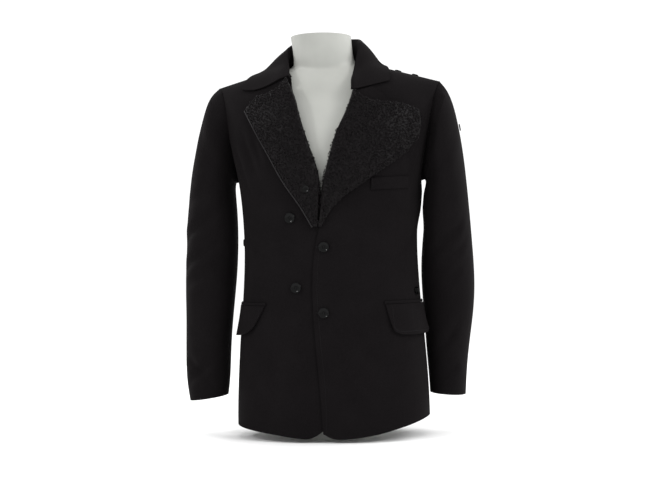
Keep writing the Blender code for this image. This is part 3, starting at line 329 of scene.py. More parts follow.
@dataclass(frozen=True)
class FormShell:
    """Form shell: glass-fibre cast, sanded, sprayed with satin off-white paint, with a faint orange peel."""

    paint: str = "#a6a7a2"
    worn: str = "#9c9d98"
    wear_mm: float = 90.0
    # Spray paint's orange peel is about 2 mm across
    peel_mm: float = 2.4
    roughness: float = 0.46

    def build(self) -> Material:
        """Make the material.

        Returns:
            The finished material.
        """
        make = Shading("satin_paint_off_white")
        make.tint(make.noise(self.wear_mm, Detail=3.0), (0.30, self.worn), (0.62, self.paint))
        make.relief(make.noise(self.peel_mm), 0.12, 0.2)
        return make.finish(self.roughness)


@dataclass(frozen=True)
class StudioPaper:
    """Studio paper: matte white seamless background paper, with a barely uneven tone."""

    sheet: str = "#fafafa"
    shade: str = "#f7f7f7"
    cloud_mm: float = 1000.0 / 1.4
    roughness: float = 0.9

    def build(self) -> Material:
        """Make the material.

        Returns:
            The finished material.
        """
        make = Shading("seamless_paper_white")
        clouds = make.noise(self.cloud_mm, Detail=1.0)
        tones = {"Factor": clouds, 6: linear(self.sheet), 7: linear(self.shade)}
        mix = make.add("ShaderNodeMix", tones, data_type="RGBA")
        make.set(make.shader, {"Base Color": mix.outputs[2]})
        return make.finish(self.roughness)


@dataclass
class Finishes:
    """Every finish on the object, made once."""

    wool: Material = field(default_factory=MeltonWool().build)
    pile: Material = field(default_factory=CurlyPile().build)
    leather: Material = field(default_factory=PipingLeather().build)
    resin: Material = field(default_factory=ButtonResin().build)
    thread: Material = field(default_factory=SewingThread().build)
    shell: Material = field(default_factory=FormShell().build)


@dataclass
class Part:
    """A sub-assembly, dressed in the object's finishes."""

    finishes: Finishes


# How high the cloth rises on both sides of a trough, as a share of the trough's depth
RIDGE_SHARE = 0.35
# How far under or over the cloth a crease's own line may lie
CREASE_REACH = 0.035
# How far a crease fades out past its ends, as a share of its length, and beside its line, in half widths
CREASE_OVERRUN = 0.15
CREASE_BREADTH = 4.0


@dataclass(frozen=True)
class Crease:
    """A soft trough, or a ridge where depth is negative, from one point to another."""

    start: tuple[float, float, float]
    end: tuple[float, float, float]
    depth_mm: float
    half_width_mm: float

    def push(self, point: Vector, outward: Vector) -> float:
        """Say how far in the crease takes a point.

        Args:
            point: A place on the cloth.
            outward: The cloth's outward direction there, along which the crease's own place doesn't count.

        Returns:
            The depth there, in metres.
        """
        low, high = sorted((self.start[2], self.end[2]))
        if not low - CREASE_REACH < point.z < high + CREASE_REACH:
            return 0.0
        start, end = Vector(self.start), Vector(self.end)
        run = end - start
        share = (point - start).dot(run) / run.length_squared
        if not -CREASE_OVERRUN < share < 1 + CREASE_OVERRUN:
            return 0.0
        away = point - (start + run * share)
        if abs(away.dot(outward)) > CREASE_REACH:
            return 0.0
        off = (away - outward * away.dot(outward)).length / (self.half_width_mm * MM)
        if off > CREASE_BREADTH:
            return 0.0
        taper = ease(share, -CREASE_OVERRUN, 0.35) * (1 - ease(share, 0.55, 1 + CREASE_OVERRUN))
        profile = math.exp(-off * off) - RIDGE_SHARE * math.exp(-((off - 2.0) ** 2))
        return self.depth_mm * MM * profile * taper


def creases(*rows: tuple[float, ...]) -> tuple[Crease, ...]:
    """Read creases from rows.

    Args:
        rows: Start x, y, z and end x, y, z, then depth and half width, all in millimetres.

    Returns:
        The creases.
    """
    ends = [tuple(value / 1000 for value in row[:6]) for row in rows]
    return tuple(Crease(at[:3], at[3:], row[6], row[7]) for at, row in zip(ends, rows))


@dataclass
class Drape:
    """How one hollow of the garment hangs: its axis, its creases and the faint unevenness of all cloth."""

    axis: Callable[[float], Vector]
    creases: Sequence[Crease]
    wave_mm: float = 1.1
    wave_length_mm: float = 95.0
    # The unevenness is longer in height than across
    wave_height: float = 0.55

    def outward(self, point: Vector) -> Vector:
        """Give the level direction from the axis to a point."""
        away = point - self.axis(point.z)
        away.z = 0.0
        return away.normalized() if away.length > 1e-6 else Vector((0.0, -1.0, 0.0))

    def moved(self, point: Vector) -> Vector:
        """Give the place that a point of the cloth hangs at.

        Args:
            point: The point on the solid's form.

        Returns:
            The draped point.
        """
        outward = self.outward(point)
        depth = sum(crease.push(point, outward) for crease in self.creases)
        stretched = Vector((point.x, point.y, point.z * self.wave_height)) * (1000.0 / self.wave_length_mm)
        wave = self.wave_mm * MM * noise.noise(stretched)
        return point + outward * (wave - depth)


def deselect_all() -> None:
    """Leave nothing selected."""
    if bpy.context.mode != "OBJECT":
        bpy.ops.object.mode_set(mode="OBJECT")
    bpy.ops.object.select_all(action="DESELECT")


def activate(obj: Object) -> None:
    """Select one object alone and make it active."""
    deselect_all()
    obj.select_set(True)
    bpy.context.view_layer.objects.active = obj


def apply_modifiers(obj: Object) -> None:
    """Apply every modifier of an object, in order."""
    activate(obj)
    for modifier in list(obj.modifiers):
        bpy.ops.object.modifier_apply(modifier=modifier.name)


def recalculate_normals(obj: Object) -> Object:
    """Turn a closed piece's faces outwards and hand it back."""
    activate(obj)
    bpy.ops.object.mode_set(mode="EDIT")
    bpy.ops.mesh.select_all(action="SELECT")
    bpy.ops.mesh.normals_make_consistent(inside=False)
    bpy.ops.object.mode_set(mode="OBJECT")
    return obj


def dress(obj: Object, material: Material, degrees: float) -> Object:
    """Give a finished piece its shading, its material and its place in the frame, and report it.

    Args:
        obj: The finished piece.
        material: Its finish.
        degrees: Edges sharper than this are shaded sharp.

    Returns:
        The same piece.
    """
    activate(obj)
    bpy.ops.object.shade_smooth_by_angle(angle=math.radians(degrees))
    obj.data.materials.clear()
    obj.data.materials.append(material)
    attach(obj, BODY)
    LOG.info("%s: %d faces", obj.name, len(obj.data.polygons))
    return obj


def new_object(name: str, data: bpy.types.ID) -> Object:
    """Make an object and link it to the scene.

    Args:
        name: The object's name.
        data: Its mesh, camera or light.

    Returns:
        The new object.
    """
    obj = bpy.data.objects.new(name, data)
    bpy.context.scene.collection.objects.link(obj)
    return obj


def looking(place: Vector, target: Vector) -> Matrix:
    """Give the matrix of a camera or light that looks from one point at another."""
    return Matrix.LocRotScale(place, (target - place).to_track_quat("-Z", "Y"), None)


class Gathered:
    """The points and faces of one piece, gathered part by part."""

    def __init__(self) -> None:
        """Start with nothing."""
        self.points: list[Vector] = []
        self.faces: list[tuple[int, ...]] = []

    def add(self, points: Iterable[Vector], faces: Iterable[Iterable[int]]) -> None:
        """Add a part.

        Args:
            points: Its points, in metres.
            faces: Its faces, as rows of its own point numbers.
        """
        start = len(self.points)
        self.points += points
        self.faces += [tuple(start + k for k in face) for face in faces]

    def tube(self, line: Sequence[Vector], radii: Sequence[float], sides: int, up: Vector) -> None:
        """Add a closed round tube.

        Args:
            line: The tube's middle line.
            radii: Its radius at each point.
            sides: How many sides it has.
            up: A direction that is never along the line.
        """
        points: list[Vector] = []
        last = len(line) - 1
        for i, (point, radius) in enumerate(zip(line, radii)):
            tangent = (line[min(i + 1, last)] - line[max(i - 1, 0)]).normalized()
            side = tangent.cross(up).normalized()
            other = side.cross(tangent)
            for k in range(sides):
                angle = 2 * math.pi * k / sides
                points.append(point + (side * math.cos(angle) + other * math.sin(angle)) * radius)
        faces: list[tuple[int, ...]] = []
        for start in range(0, last * sides, sides):
            for k in range(sides):
                a, b = start + k, start + (k + 1) % sides
                faces.append((a, b, b + sides, a + sides))
        ends = (tuple(reversed(range(sides))), tuple(last * sides + k for k in range(sides)))
        self.add(points, [*faces, *ends])

    def piece(self, name: str) -> Object:
        """Make the piece.

        Args:
            name: The piece's name.

        Returns:
            The new object.
        """
        mesh = bpy.data.meshes.new(name)
        mesh.from_pydata([tuple(p) for p in self.points], [], self.faces)
        mesh.update()
        return new_object(name, mesh)

    def closed_piece(self, name: str) -> Object:
        """Make the piece, which is closed, and turn its faces outwards."""
        return recalculate_normals(self.piece(name))


# Points closer than this are one, and triangles that meet flatter than these angles are joined into quads
WELD = 0.02 * MM
QUAD_FLATNESS = math.radians(28)
QUAD_SHAPE = math.radians(75)


def refined_copy(node: str, name: str, levels: int, sharp_from: float) -> Object:
    """Copy a solid's form, join its loose triangles into quads and subdivide them.

    Args:
        node: The solid's name.
        name: The new piece's name.
        levels: How often the surface is subdivided.
        sharp_from: Edges that bend by more degrees stay sharp.

    Returns:
        The refined copy, its modifiers applied.
    """
    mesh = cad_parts[node].data.copy()
    mesh.name = name
    body = bmesh.new()
    body.from_mesh(mesh)
    bmesh.ops.remove_doubles(body, verts=body.verts, dist=WELD)
    for face in body.faces:
        face.smooth = True
    bmesh.ops.join_triangles(
        body, faces=body.faces, angle_face_threshold=QUAD_FLATNESS, angle_shape_threshold=QUAD_SHAPE
    )
    sharp = body.edges.layers.float.new("crease_edge")
    for edge in body.edges:
        edge.smooth = True
        if edge.is_manifold and edge.calc_face_angle(0.0) > math.radians(sharp_from):
            edge[sharp] = 1.0
    body.to_mesh(mesh)
    body.free()
    for attribute in ("sharp_edge", "sharp_face", "custom_normal"):
        if attribute in mesh.attributes:
            mesh.attributes.remove(mesh.attributes[attribute])
    obj = new_object(name, mesh)
    smoother = obj.modifiers.new("refine", "SUBSURF")
    smoother.levels = levels
    smoother.render_levels = levels
    smoother.boundary_smooth = "PRESERVE_CORNERS"
    apply_modifiers(obj)
    return obj


def drape_mesh(obj: Object, drape: Drape) -> None:
    """Hang every point of a piece as its drape says."""
    for vertex in obj.data.vertices:
        vertex.co = drape.moved(vertex.co.copy())
    obj.data.update()


class Surface:
    """Finds places on finished pieces, for what is sewn or laid on them."""

    def __init__(self, pieces: Iterable[Object]) -> None:
        """Read the pieces' faces.

        Args:
            pieces: The finished pieces, in place.
        """
        gathered = Gathered()
        for piece in pieces:
            mesh = piece.data
            gathered.add([v.co.copy() for v in mesh.vertices], [face.vertices for face in mesh.polygons])
        self.tree = BVHTree.FromPolygons(gathered.points, gathered.faces)

    def hit(self, origin: Vector, direction: Vector) -> Spot | None:
        """Give the first place and its normal along a ray.

        Args:
            origin: Where the ray starts.
            direction: Which way it goes.

        Returns:
            The place and the normal that faces the ray, or None where it misses.
        """
        place, normal, _, _ = self.tree.ray_cast(origin, direction.normalized())
        if place is None:
            return None
        return place, normal if normal.dot(direction) < 0 else -normal

    def from_front(self, x: float, z: float) -> Spot | None:
        """Give the place that shows from straight in front at that height and crosswise place."""
        return self.hit(Vector((x, -0.5, z)), Vector((0.0, 1.0, 0.0)))

    def from_side(self, turn: float, z: float) -> Spot | None:
        """Give the place that shows at a height from a turn round the body, in degrees from the front."""
        away = Vector((math.sin(math.radians(turn)), -math.cos(math.radians(turn)), 0.0))
        return self.hit(Vector((0.0, 0.0, z)) + away * 0.5, -away)

    def line(self, look: Callable[..., Spot | None], pairs: Sequence[tuple[float, float]]) -> list[Spot]:
        """Find a row of places with from_front or from_side, without those that miss."""
        found = [look(*pair) for pair in pairs]
        return [spot for spot in found if spot]


def resampled(points: Sequence[Vector], step: float) -> list[Vector]:
    """Space points evenly along a line.

    Args:
        points: The line's corners.
        step: The distance between the new points.

    Returns:
        The new points, ends included.
    """
    lengths = [0.0]
    for a, b in zip(points, points[1:]):
        lengths.append(lengths[-1] + (b - a).length)
    count = max(2, round(lengths[-1] / step) + 1)
    out: list[Vector] = []
    k = 0
    for i in range(count):
        at = lengths[-1] * i / (count - 1)
        while k < len(lengths) - 2 and lengths[k + 1] < at:
            k += 1
        span = max(lengths[k + 1] - lengths[k], 1e-9)
        out.append(points[k].lerp(points[k + 1], (at - lengths[k]) / span))
    return out


@dataclass
class StitchRow:
    """A row of machine stitches, each a small bent bead of thread that dips at both ends."""

    name: str
    length_mm: float = 3.2
    pitch_mm: float = 4.2
    radius_mm: float = 0.38
    sink_mm: float = 0.08

    def build(self, lines: Sequence[Sequence[Spot]], material: Material) -> Object:
        """Sew the stitches along lines on a surface.

        Args:
            lines: Each line's places with their normals.
            material: The thread.

        Returns:
            All the stitches as one piece.
        """
        row = Gathered()
        for line in lines:
            places = resampled([place for place, _ in line], self.pitch_mm * MM / 4)
            # The normals are spaced as the places are
            turned = sum((b[1] - a[1]).length for a, b in zip(line, line[1:]))
            step = max(turned / max(len(places) - 1, 1), 1e-6)
            normals = resampled([normal for _, normal in line], step)
            for i in range(0, len(places) - 4, 4):
                middle = places[i + 2]
                normal = normals[min(i + 2, len(normals) - 1)].normalized()
                along = (places[i + 4] - places[i]).normalized() * (self.length_mm * MM / 2)
                stitch = [
                    middle + along * share + normal * (height - self.sink_mm) * MM
                    for share, height in ((-1.0, -0.25), (-0.5, 0.12), (0.5, 0.12), (1.0, -0.25))
                ]
                radii = [r * self.radius_mm * MM for r in (0.55, 1.0, 1.0, 0.55)]
                row.tube(stitch, radii, 5, normal)
        return dress(row.closed_piece(self.name), material, 60)


def front_line(surface: Surface, corners: Sequence[tuple[float, float]], step: float = 0.004) -> list[Spot]:
    """Lay a line on the garment's front through corners as (x, z), with a place every step metres."""
    flat = resampled([Vector((x, 0.0, z)) for x, z in corners], step)
    return surface.line(surface.from_front, [(p.x, p.z) for p in flat])


class Studio:
    """The camera, the plain pale floor and the soft light."""

    def build(self) -> None:
        """Set up the whole studio."""
        self.camera()
        self.floor()
        self.world()
        self.lights()

    def camera(self) -> None:
        """Place the level camera where the photograph was taken from."""
        data = bpy.data.cameras.new("photo_camera")
        data.sensor_width = SENSOR_WIDTH
        data.lens = SENSOR_WIDTH * (CAMERA_DISTANCE / METRES_PER_PIXEL) / PHOTO_WIDTH
        data.shift_x = CAMERA_SHIFT_PIXELS / PHOTO_WIDTH
        data.dof.use_dof = False
        turn = math.radians(CAMERA_AZIMUTH)
        place = CAMERA_TARGET + Vector((math.sin(turn), -math.cos(turn), 0.0)) * CAMERA_DISTANCE
        camera = new_object("photo_camera", data)
        roll = Matrix.Rotation(math.radians(CAMERA_ROLL), 4, "Z")
        camera.matrix_world = looking(place, CAMERA_TARGET) @ roll
        bpy.context.scene.camera = camera

    def floor(self) -> None:
        """Lay the plain pale floor."""
        deselect_all()
        bpy.ops.mesh.primitive_circle_add(vertices=96, radius=FLOOR_RADIUS, fill_type="NGON")
        floor = bpy.context.object
        floor.name = "studio_floor"
        floor.data.materials.append(StudioPaper().build())

    def world(self) -> None:
        """Surround the object with even white light."""
        world = bpy.data.worlds.new("studio_white")
        bpy.context.scene.world = world
        world.use_nodes = True
        background = world.node_tree.nodes["Background"]
        background.inputs["Color"].default_value = (1.0, 1.0, 1.0, 1.0)
        background.inputs["Strength"].default_value = WORLD_STRENGTH
        bpy.context.scene.view_settings.view_transform = "Standard"

    def lights(self) -> None:
        """Hang a soft box on each side in front, the left one small for glints, and two behind for edges."""
        for name, place, size, power in (
            ("soft_box_left", (-2.2, -2.0, 2.2), 0.4, 27.0),
            ("soft_box_right", (2.4, -1.6, 2.0), 1.0, 38.0),
            ("edge_box_left", (-2.0, 0.9, 1.9), 0.8, 20.0),
            ("edge_box_right", (2.0, 0.9, 1.9), 0.8, 20.0),
        ):
            data = bpy.data.lights.new(name, "AREA")
            data.shape = "SQUARE"
            data.size = size
            data.energy = power
            new_object(name, data).matrix_world = looking(Vector(place), LIGHT_TARGET)


class DressForm(Part):
    """The limbless form: torso, flat-cut neck and round foot."""

    def build(self) -> Object:
        """Smooth the form's own solid and paint it.

        Returns:
            The finished form.
        """
        form = refined_copy("dress_form", "form_shell", 2, 62.0)
        dress(form, self.finishes.shell, 50)
        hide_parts("dress_form")
        return form


@dataclass(frozen=True)
class ClothCut:
    """One cut piece of cloth: its solid, its flat size in metres and how it is held."""

    node: str
    piece: str
    width: float
    length: float
    area: float
    hold: Hold
    rests_on: str
    levels: int = 2

    def grow(self, drape: Drape, material: Material, slot: str) -> Object:
        """Grow the cloth shell from its solid and hang it.

        Args:
            drape: How its part of the garment hangs.
            material: The cloth.
            slot: The record's material slot; not used.

        Returns:
            The finished shell, which stands for its solid.
        """
        piece = refined_copy(self.node, self.piece, self.levels, 50.0)
        drape_mesh(piece, drape)
        dress(piece, material, 48)
        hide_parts(self.node)
        return piece

    def declare(self, piece: Object, sewn_on: Sequence[Object] = ()) -> None:
        """Do nothing with the piece or with what is sewn on it.

        Args:
            piece: The finished shell; not used.
            sewn_on: Pieces that are sewn on it all over; not used.
        """


def cuts(
    cloth: str, hold: Hold, levels: int, *rows: tuple[str, float, float, float, str]
) -> tuple[ClothCut, ...]:
    """Read cuts of one cloth from rows of a solid, its flat width, length and area, and what it rests on."""
    return tuple(ClothCut(row[0], f"{cloth}_{row[0]}", *row[1:4], hold, row[4], levels) for row in rows)


BODY_CUTS = cuts(
    "wool",
    Hold.DRAPED,
    3,
    ("front_left", 0.306, 0.76, 0.182, "form_shell"),
    ("front_right", 0.316, 0.76, 0.1845, "form_shell"),
    ("back_left", 0.228, 0.74, 0.144, "form_shell"),
    ("back_right", 0.228, 0.745, 0.146, "form_shell"),
)
SLEEVE_CUTS = cuts(
    "wool",
    Hold.HUNG,
    3,
    ("sleeve_left", 0.372, 0.625, 0.179, "wool_front_left"),
    ("sleeve_right", 0.4, 0.63, 0.186, "wool_front_right"),
)
COLLAR_CUT = ClothCut("collar", "wool_collar", 0.52, 0.115, 0.05, Hold.FOLDED, "wool_back_left")
LEAF_CUTS = cuts(
    "wool",
    Hold.FOLDED,
    2,
    ("lapel_left", 0.18, 0.29, 0.024, "wool_front_left"),
    ("lapel_right", 0.11, 0.3, 0.017, "wool_front_right"),
)
FACING_CUTS = cuts(
    "pile",
    Hold.FOLDED,
    2,
    ("facing_left", 0.19, 0.3, 0.026, "wool_lapel_left"),
    ("facing_right", 0.125, 0.32, 0.0205, "wool_lapel_right"),
)
POCKET_CUTS = (
    ClothCut("welt_pocket", "wool_welt", 0.088, 0.026, 0.0021, Hold.LAID, "wool_front_left"),
    *cuts(
        "wool",
        Hold.LAID,
        2,
        ("flap_left", 0.136, 0.063, 0.0078, "wool_front_left"),
        ("flap_right", 0.158, 0.063, 0.0086, "wool_front_right"),
        ("jet_left", 0.136, 0.01, 0.0009, "wool_front_left"),
        ("jet_right", 0.158, 0.01, 0.0011, "wool_front_right"),
    ),
)


def body_axis(height: float) -> Vector:
    """Give the middle of the torso at a height."""
    return Vector((0.0, 0.01, height))


def left_sleeve_axis(height: float) -> Vector:
    """Give the middle of the wearer's left sleeve at a height."""
    out = ease(height, 0.05, 0.30) - ease(height, 0.30, 0.66)
    return Vector((0.225 + 0.012 * out, 0.020, height))


def right_sleeve_axis(height: float) -> Vector:
    """Give the middle of the wearer's right sleeve at a height."""
    return Vector((-0.244 + 0.032 * ease(height, 0.25, 0.66), -0.004, height))


# Creases of the body: by the armholes, from the closing button and over the hips, and their like on the back
BODY_DRAPE = Drape(
    body_axis,
    creases(
        (-150, -75, 590, -136, -105, 505, 2.8, 6.5),
        (-163, -60, 560, -150, -88, 468, 2.2, 6.5),
        (-138, -98, 572, -120, -112, 520, 1.9, 6.0),
        (152, -85, 590, 164, -78, 510, 2.4, 7.0),
        (166, -60, 560, 160, -78, 470, 1.9, 7.0),
        (6, -122, 374, 100, -112, 428, 1.9, 7.5),
        (10, -122, 358, 125, -104, 368, 1.2, 8.0),
        (-18, -122, 366, -118, -105, 404, 1.9, 7.5),
        (-22, -122, 350, -135, -96, 345, 1.2, 8.0),
        (12, -120, 250, 90, -112, 285, 1.4, 9.0),
        (60, -120, 235, 100, -110, 60, 1.9, 14.0),
        (-70, -118, 235, -108, -105, 50, 2.0, 13.0),
        (-160, -50, 400, -120, -100, 360, 1.9, 8.0),
        (172, -30, 395, 140, -90, 350, 1.6, 8.0),
        (-150, 90, 560, -75, 110, 470, 2.7, 10.0),
        (-158, 70, 520, -100, 104, 440, 2.0, 9.0),
        (150, 90, 565, 70, 112, 480, 2.6, 10.0),
        (160, 70, 500, 110, 100, 430, 1.9, 9.0),
        (-140, 80, 400, -40, 92, 372, 2.0, 9.0),
        (145, 78, 395, 50, 90, 350, 1.9, 10.0),
        (-110, 90, 300, -130, 100, 60, 2.2, 15.0),
        (100, 92, 280, 128, 102, 70, 2.0, 15.0),
        # The cloth swells towards the wearer's left sleeve below the armpit
        (178, 5, 495, 170, 5, 405, -6.0, 26.0),
        (-40, 100, 690, 45, 104, 675, 1.5, 9.0),
    ),
)
LEFT_SLEEVE_DRAPE = Drape(
    left_sleeve_axis,
    creases(
        # The sleeve's inner side swells towards the body below the armpit
        (190, 5, 495, 186, 20, 405, -6.0, 26.0),
        (248, -50, 590, 206, -45, 490, 2.6, 10.0),
        (264, -40, 412, 196, -25, 352, 4.1, 8.0),
        (272, -25, 370, 204, -30, 322, 3.2, 7.5),
        (262, -30, 318, 214, -30, 290, 2.3, 7.5),
        (258, -10, 215, 194, 0, 165, 3.1, 9.0),
        (256, 0, 132, 196, 8, 112, 2.4, 7.5),
        (252, 95, 390, 186, 85, 340, 4.2, 9.0),
        (264, 90, 345, 190, 95, 298, 3.4, 8.5),
        (270, 70, 300, 230, 95, 272, 2.6, 8.0),
        (252, 90, 190, 196, 95, 150, 2.4, 10.0),
    ),
)
RIGHT_SLEEVE_DRAPE = Drape(
    right_sleeve_axis,
    creases(
        (-252, -55, 605, -206, -50, 505, 2.4, 10.0),
        (-286, -30, 380, -216, -58, 432, 5.4, 8.0),
        (-286, -30, 328, -212, -58, 376, 5.6, 8.0),
        (-282, -34, 292, -226, -58, 322, 3.0, 8.0),
        (-276, -40, 452, -216, -56, 478, 2.4, 9.0),
        (-280, -45, 158, -224, -62, 102, 4.6, 8.0),
        (-278, -52, 108, -228, -62, 146, 4.0, 7.5),
        (-272, -45, 215, -232, -58, 190, 2.0, 8.0),
        (-276, 55, 400, -206, 60, 350, 3.5, 9.0),
        (-282, 50, 355, -210, 55, 308, 3.0, 8.5),
        (-274, 40, 180, -226, 40, 140, 2.4, 9.0),
    ),
)


@dataclass
class ClothPieces(Part):
    """A group of cut pieces that hang in one drape."""

    cuts: tuple[ClothCut, ...]
    drape: Drape

    def build(self) -> dict[str, Object]:
        """Grow each wool shell from its solid and hang it.

        Returns:
            The finished pieces by name.
        """
        made: dict[str, Object] = {}
        for cut in self.cuts:
            made[cut.piece] = cut.grow(self.drape, self.finishes.wool, "wool_melton")
            cut.declare(made[cut.piece])
        return made


@dataclass
class PileCurls:
    """The curls of one facing: small open loops of yarn, crowded over the backing."""

    name: str
    spacing_mm: float = 3.5
    loop_mm: float = 1.8
    yarn_mm: float = 0.72
    segments: int = 8
    sides: int = 4
    # How far round each kind of curl goes, and how much it climbs
    kinds: tuple[tuple[float, float], ...] = ((1.15, 0.2), (0.85, 0.5), (1.35, 0.0))
    # Faces turned less than this towards the outside stay bare
    facing_share: float = 0.25
    # How many places are tried for each curl that would fit
    tries: int = 5

    def curl(self, turns: float, lean: float) -> Gathered:
        """Work out one curl, lying on the plane z = 0.

        Args:
            turns: How far round it goes.
            lean: How much it climbs.

        Returns:
            The curl's points and faces.
        """
        line: list[Vector] = []
        radii: list[float] = []
        for i in range(self.segments + 1):
            share = i / self.segments
            angle = 2 * math.pi * turns * share
            reach = self.loop_mm * MM * (1.0 - 0.35 * share)
            height = MM * (0.35 + 1.25 * math.sin(math.pi * share) + lean * share)
            line.append(Vector((math.cos(angle) * reach, math.sin(angle) * reach, height)))
            radii.append(self.yarn_mm * MM * (0.55 + 0.45 * math.sin(math.pi * i / self.segments)))
        curl = Gathered()
        curl.tube(line, radii, self.sides, Vector((0.13, 0.09, 1.0)))
        return curl

    def build(self, facing: Object, drape: Drape, material: Material, rng: random.Random) -> Object:
        """Crowd the curls over a facing's outer side.

        Args:
            facing: The finished backing.
            drape: The hollow that it hangs round, whose outward side is covered.
            material: The pile.
            rng: The seeded source of small differences.

        Returns:
            The curls as one piece.
        """
        shapes = [self.curl(turns, lean) for turns, lean in self.kinds]
        pile = Gathered()
        for place, normal in self.scatter(facing, drape, rng):
            shape = shapes[rng.randrange(len(shapes))]
            spin = Matrix.Rotation(rng.uniform(0, 2 * math.pi), 3, "Z")
            lean = Matrix.Rotation(rng.uniform(-0.5, 0.5), 3, "X")
            tilt = normal.to_track_quat("Z", "Y").to_matrix() @ spin @ lean
            size = rng.uniform(0.82, 1.22)
            pile.add([place + tilt @ (p * size) for p in shape.points], shape.faces)
        return dress(pile.closed_piece(self.name), material, 75)

    def scatter(self, facing: Object, drape: Drape, rng: random.Random) -> list[Spot]:
        """Choose places all over the facing's outer side, none closer than the spacing.

        Args:
            facing: The finished backing.
            drape: The hollow that it hangs round.
            rng: The seeded source of places.

        Returns:
            Places with their normals.
        """
        mesh = facing.data
        mesh.calc_loop_triangles()
        triangles = []
        for triangle in mesh.loop_triangles:
            middle = sum((mesh.vertices[i].co for i in triangle.vertices), Vector()) / 3
            if triangle.normal.dot(drape.outward(middle)) > self.facing_share:
                triangles.append(triangle)
        weights = [triangle.area for triangle in triangles]
        size = self.spacing_mm * MM
        wanted = int(sum(weights) / size**2 * 1.25)
        candidates: list[Spot] = []
        for triangle in rng.choices(triangles, weights=weights, k=wanted * self.tries):
            a, b, c = (mesh.vertices[i].co for i in triangle.vertices)
            u, v = rng.random(), rng.random()
            if u + v > 1:
                u, v = 1 - u, 1 - v
            candidates.append((a + (b - a) * u + (c - a) * v, triangle.normal.copy()))
        # A grid of cells as wide as the spacing, so that only neighbours are compared
        cells: dict[tuple[int, ...], list[Vector]] = {}
        around = list(itertools.product((-1, 0, 1), repeat=3))
        kept: list[Spot] = []
        for place, normal in candidates:
            key = tuple(int(math.floor(c / size)) for c in place)
            near = (other for step in around for other in cells.get(tuple(map(operator.add, key, step)), ()))
            if all((other - place).length > size for other in near):
                cells.setdefault(key, []).append(place)
                kept.append((place, normal))
        return kept


@dataclass(frozen=True)
class GorgeSeam:
    """The turned-in seam allowance of one gorge, which closes the corner between collar end and lapel.

    Its inner edge is given by (x, z) from the bottom up, and its outer edge lies under the collar.
    """

    name: str
    inner: tuple[tuple[float, float], ...]
    outer_x: float
    stand_off_mm: float = 2.2
    thickness_mm: float = 0.9
    row_mm: float = 2.5
    columns: int = 10

    def build(self, form: Surface, material: Material) -> Object:
        """Lay the strip on the form's neck and give it the cloth's thickness.

        Args:
            form: The finished form.
            material: The wool.

        Returns:
            The finished strip.
        """
        rows = resampled([Vector((x, 0.0, z)) for x, z in self.inner], self.row_mm * MM)
        wide = self.columns + 1
        sheet = Gathered()
        for row in rows:
            for k in range(wide):
                x = row.x + (self.outer_x - row.x) * k / self.columns
                place, normal = form.from_front(x, row.z)
                sheet.points.append(place + normal * self.stand_off_mm * MM)
        starts = (i * wide + k for i in range(len(rows) - 1) for k in range(self.columns))
        sheet.faces += [(a, a + 1, a + wide + 1, a + wide) for a in starts]
        strip = sheet.piece(self.name)
        wall = strip.modifiers.new("cloth_thickness", "SOLIDIFY")
        wall.thickness = self.thickness_mm * MM
        wall.offset = 0.0
        apply_modifiers(strip)
        return dress(recalculate_normals(strip), material, 50)


GORGE_SEAMS = (
    GorgeSeam(
        "wool_gorge_right",
        ((-0.0600, 0.6620), (-0.0625, 0.6720), (-0.0645, 0.6840), (-0.0660, 0.6930), (-0.0680, 0.6990)),
        -0.0780,
    ),
    GorgeSeam("wool_gorge_left", ((0.0535, 0.6460), (0.0545, 0.6560), (0.0565, 0.6700)), 0.0700),
)


class Collar(Part):
    """The folded collar with the gorge's seam allowance at both its ends."""

    def build(self, form: Object) -> dict[str, Object]:
        """Make the collar.

        Args:
            form: The finished form, which the seam allowances lie on.

        Returns:
            The finished collar by name.
        """
        wool = self.finishes.wool
        collar = COLLAR_CUT.grow(BODY_DRAPE, wool, "wool_melton")
        neck = Surface([form])
        COLLAR_CUT.declare(collar, [seam.build(neck, wool) for seam in GORGE_SEAMS])
        return {COLLAR_CUT.piece: collar}


class Lapels(Part):
    """Both lapels: the turned-back wool, the curly facings and the piping."""

    def build(self) -> dict[str, Object]:
        """Make the lapels.

        Returns:
            The finished shells by name.
        """
        made = ClothPieces(self.finishes, LEAF_CUTS, BODY_DRAPE).build()
        pile = self.finishes.pile
        rng = random.Random(SEED)
        for cut in FACING_CUTS:
            facing = cut.grow(BODY_DRAPE, pile, "curly_pile")
            curls = PileCurls(cut.piece.replace("facing", "curls"))
            cut.declare(facing, [curls.build(facing, BODY_DRAPE, pile, rng)])
            made[cut.piece] = facing
        piping = refined_copy("lapel_piping", "leather_piping", 1, 80.0)
        drape_mesh(piping, BODY_DRAPE)
        dress(piping, self.finishes.leather, 60)
        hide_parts("lapel_piping")
        return made


# How far each button is turned on its threads, in degrees
BUTTON_TURNS = {
    "button_close_upper": 12.0,
    "button_close_lower": -8.0,
    "button_show_upper": 38.0,
    "button_show_lower": 5.0,
    "button_lapel": 20.0,
    "button_pocket": -15.0,
    "button_waist": 30.0,
    "button_shoulder_inner": 0.0,
    "button_shoulder_outer": 44.0,
    "button_sleeve": 10.0,
}


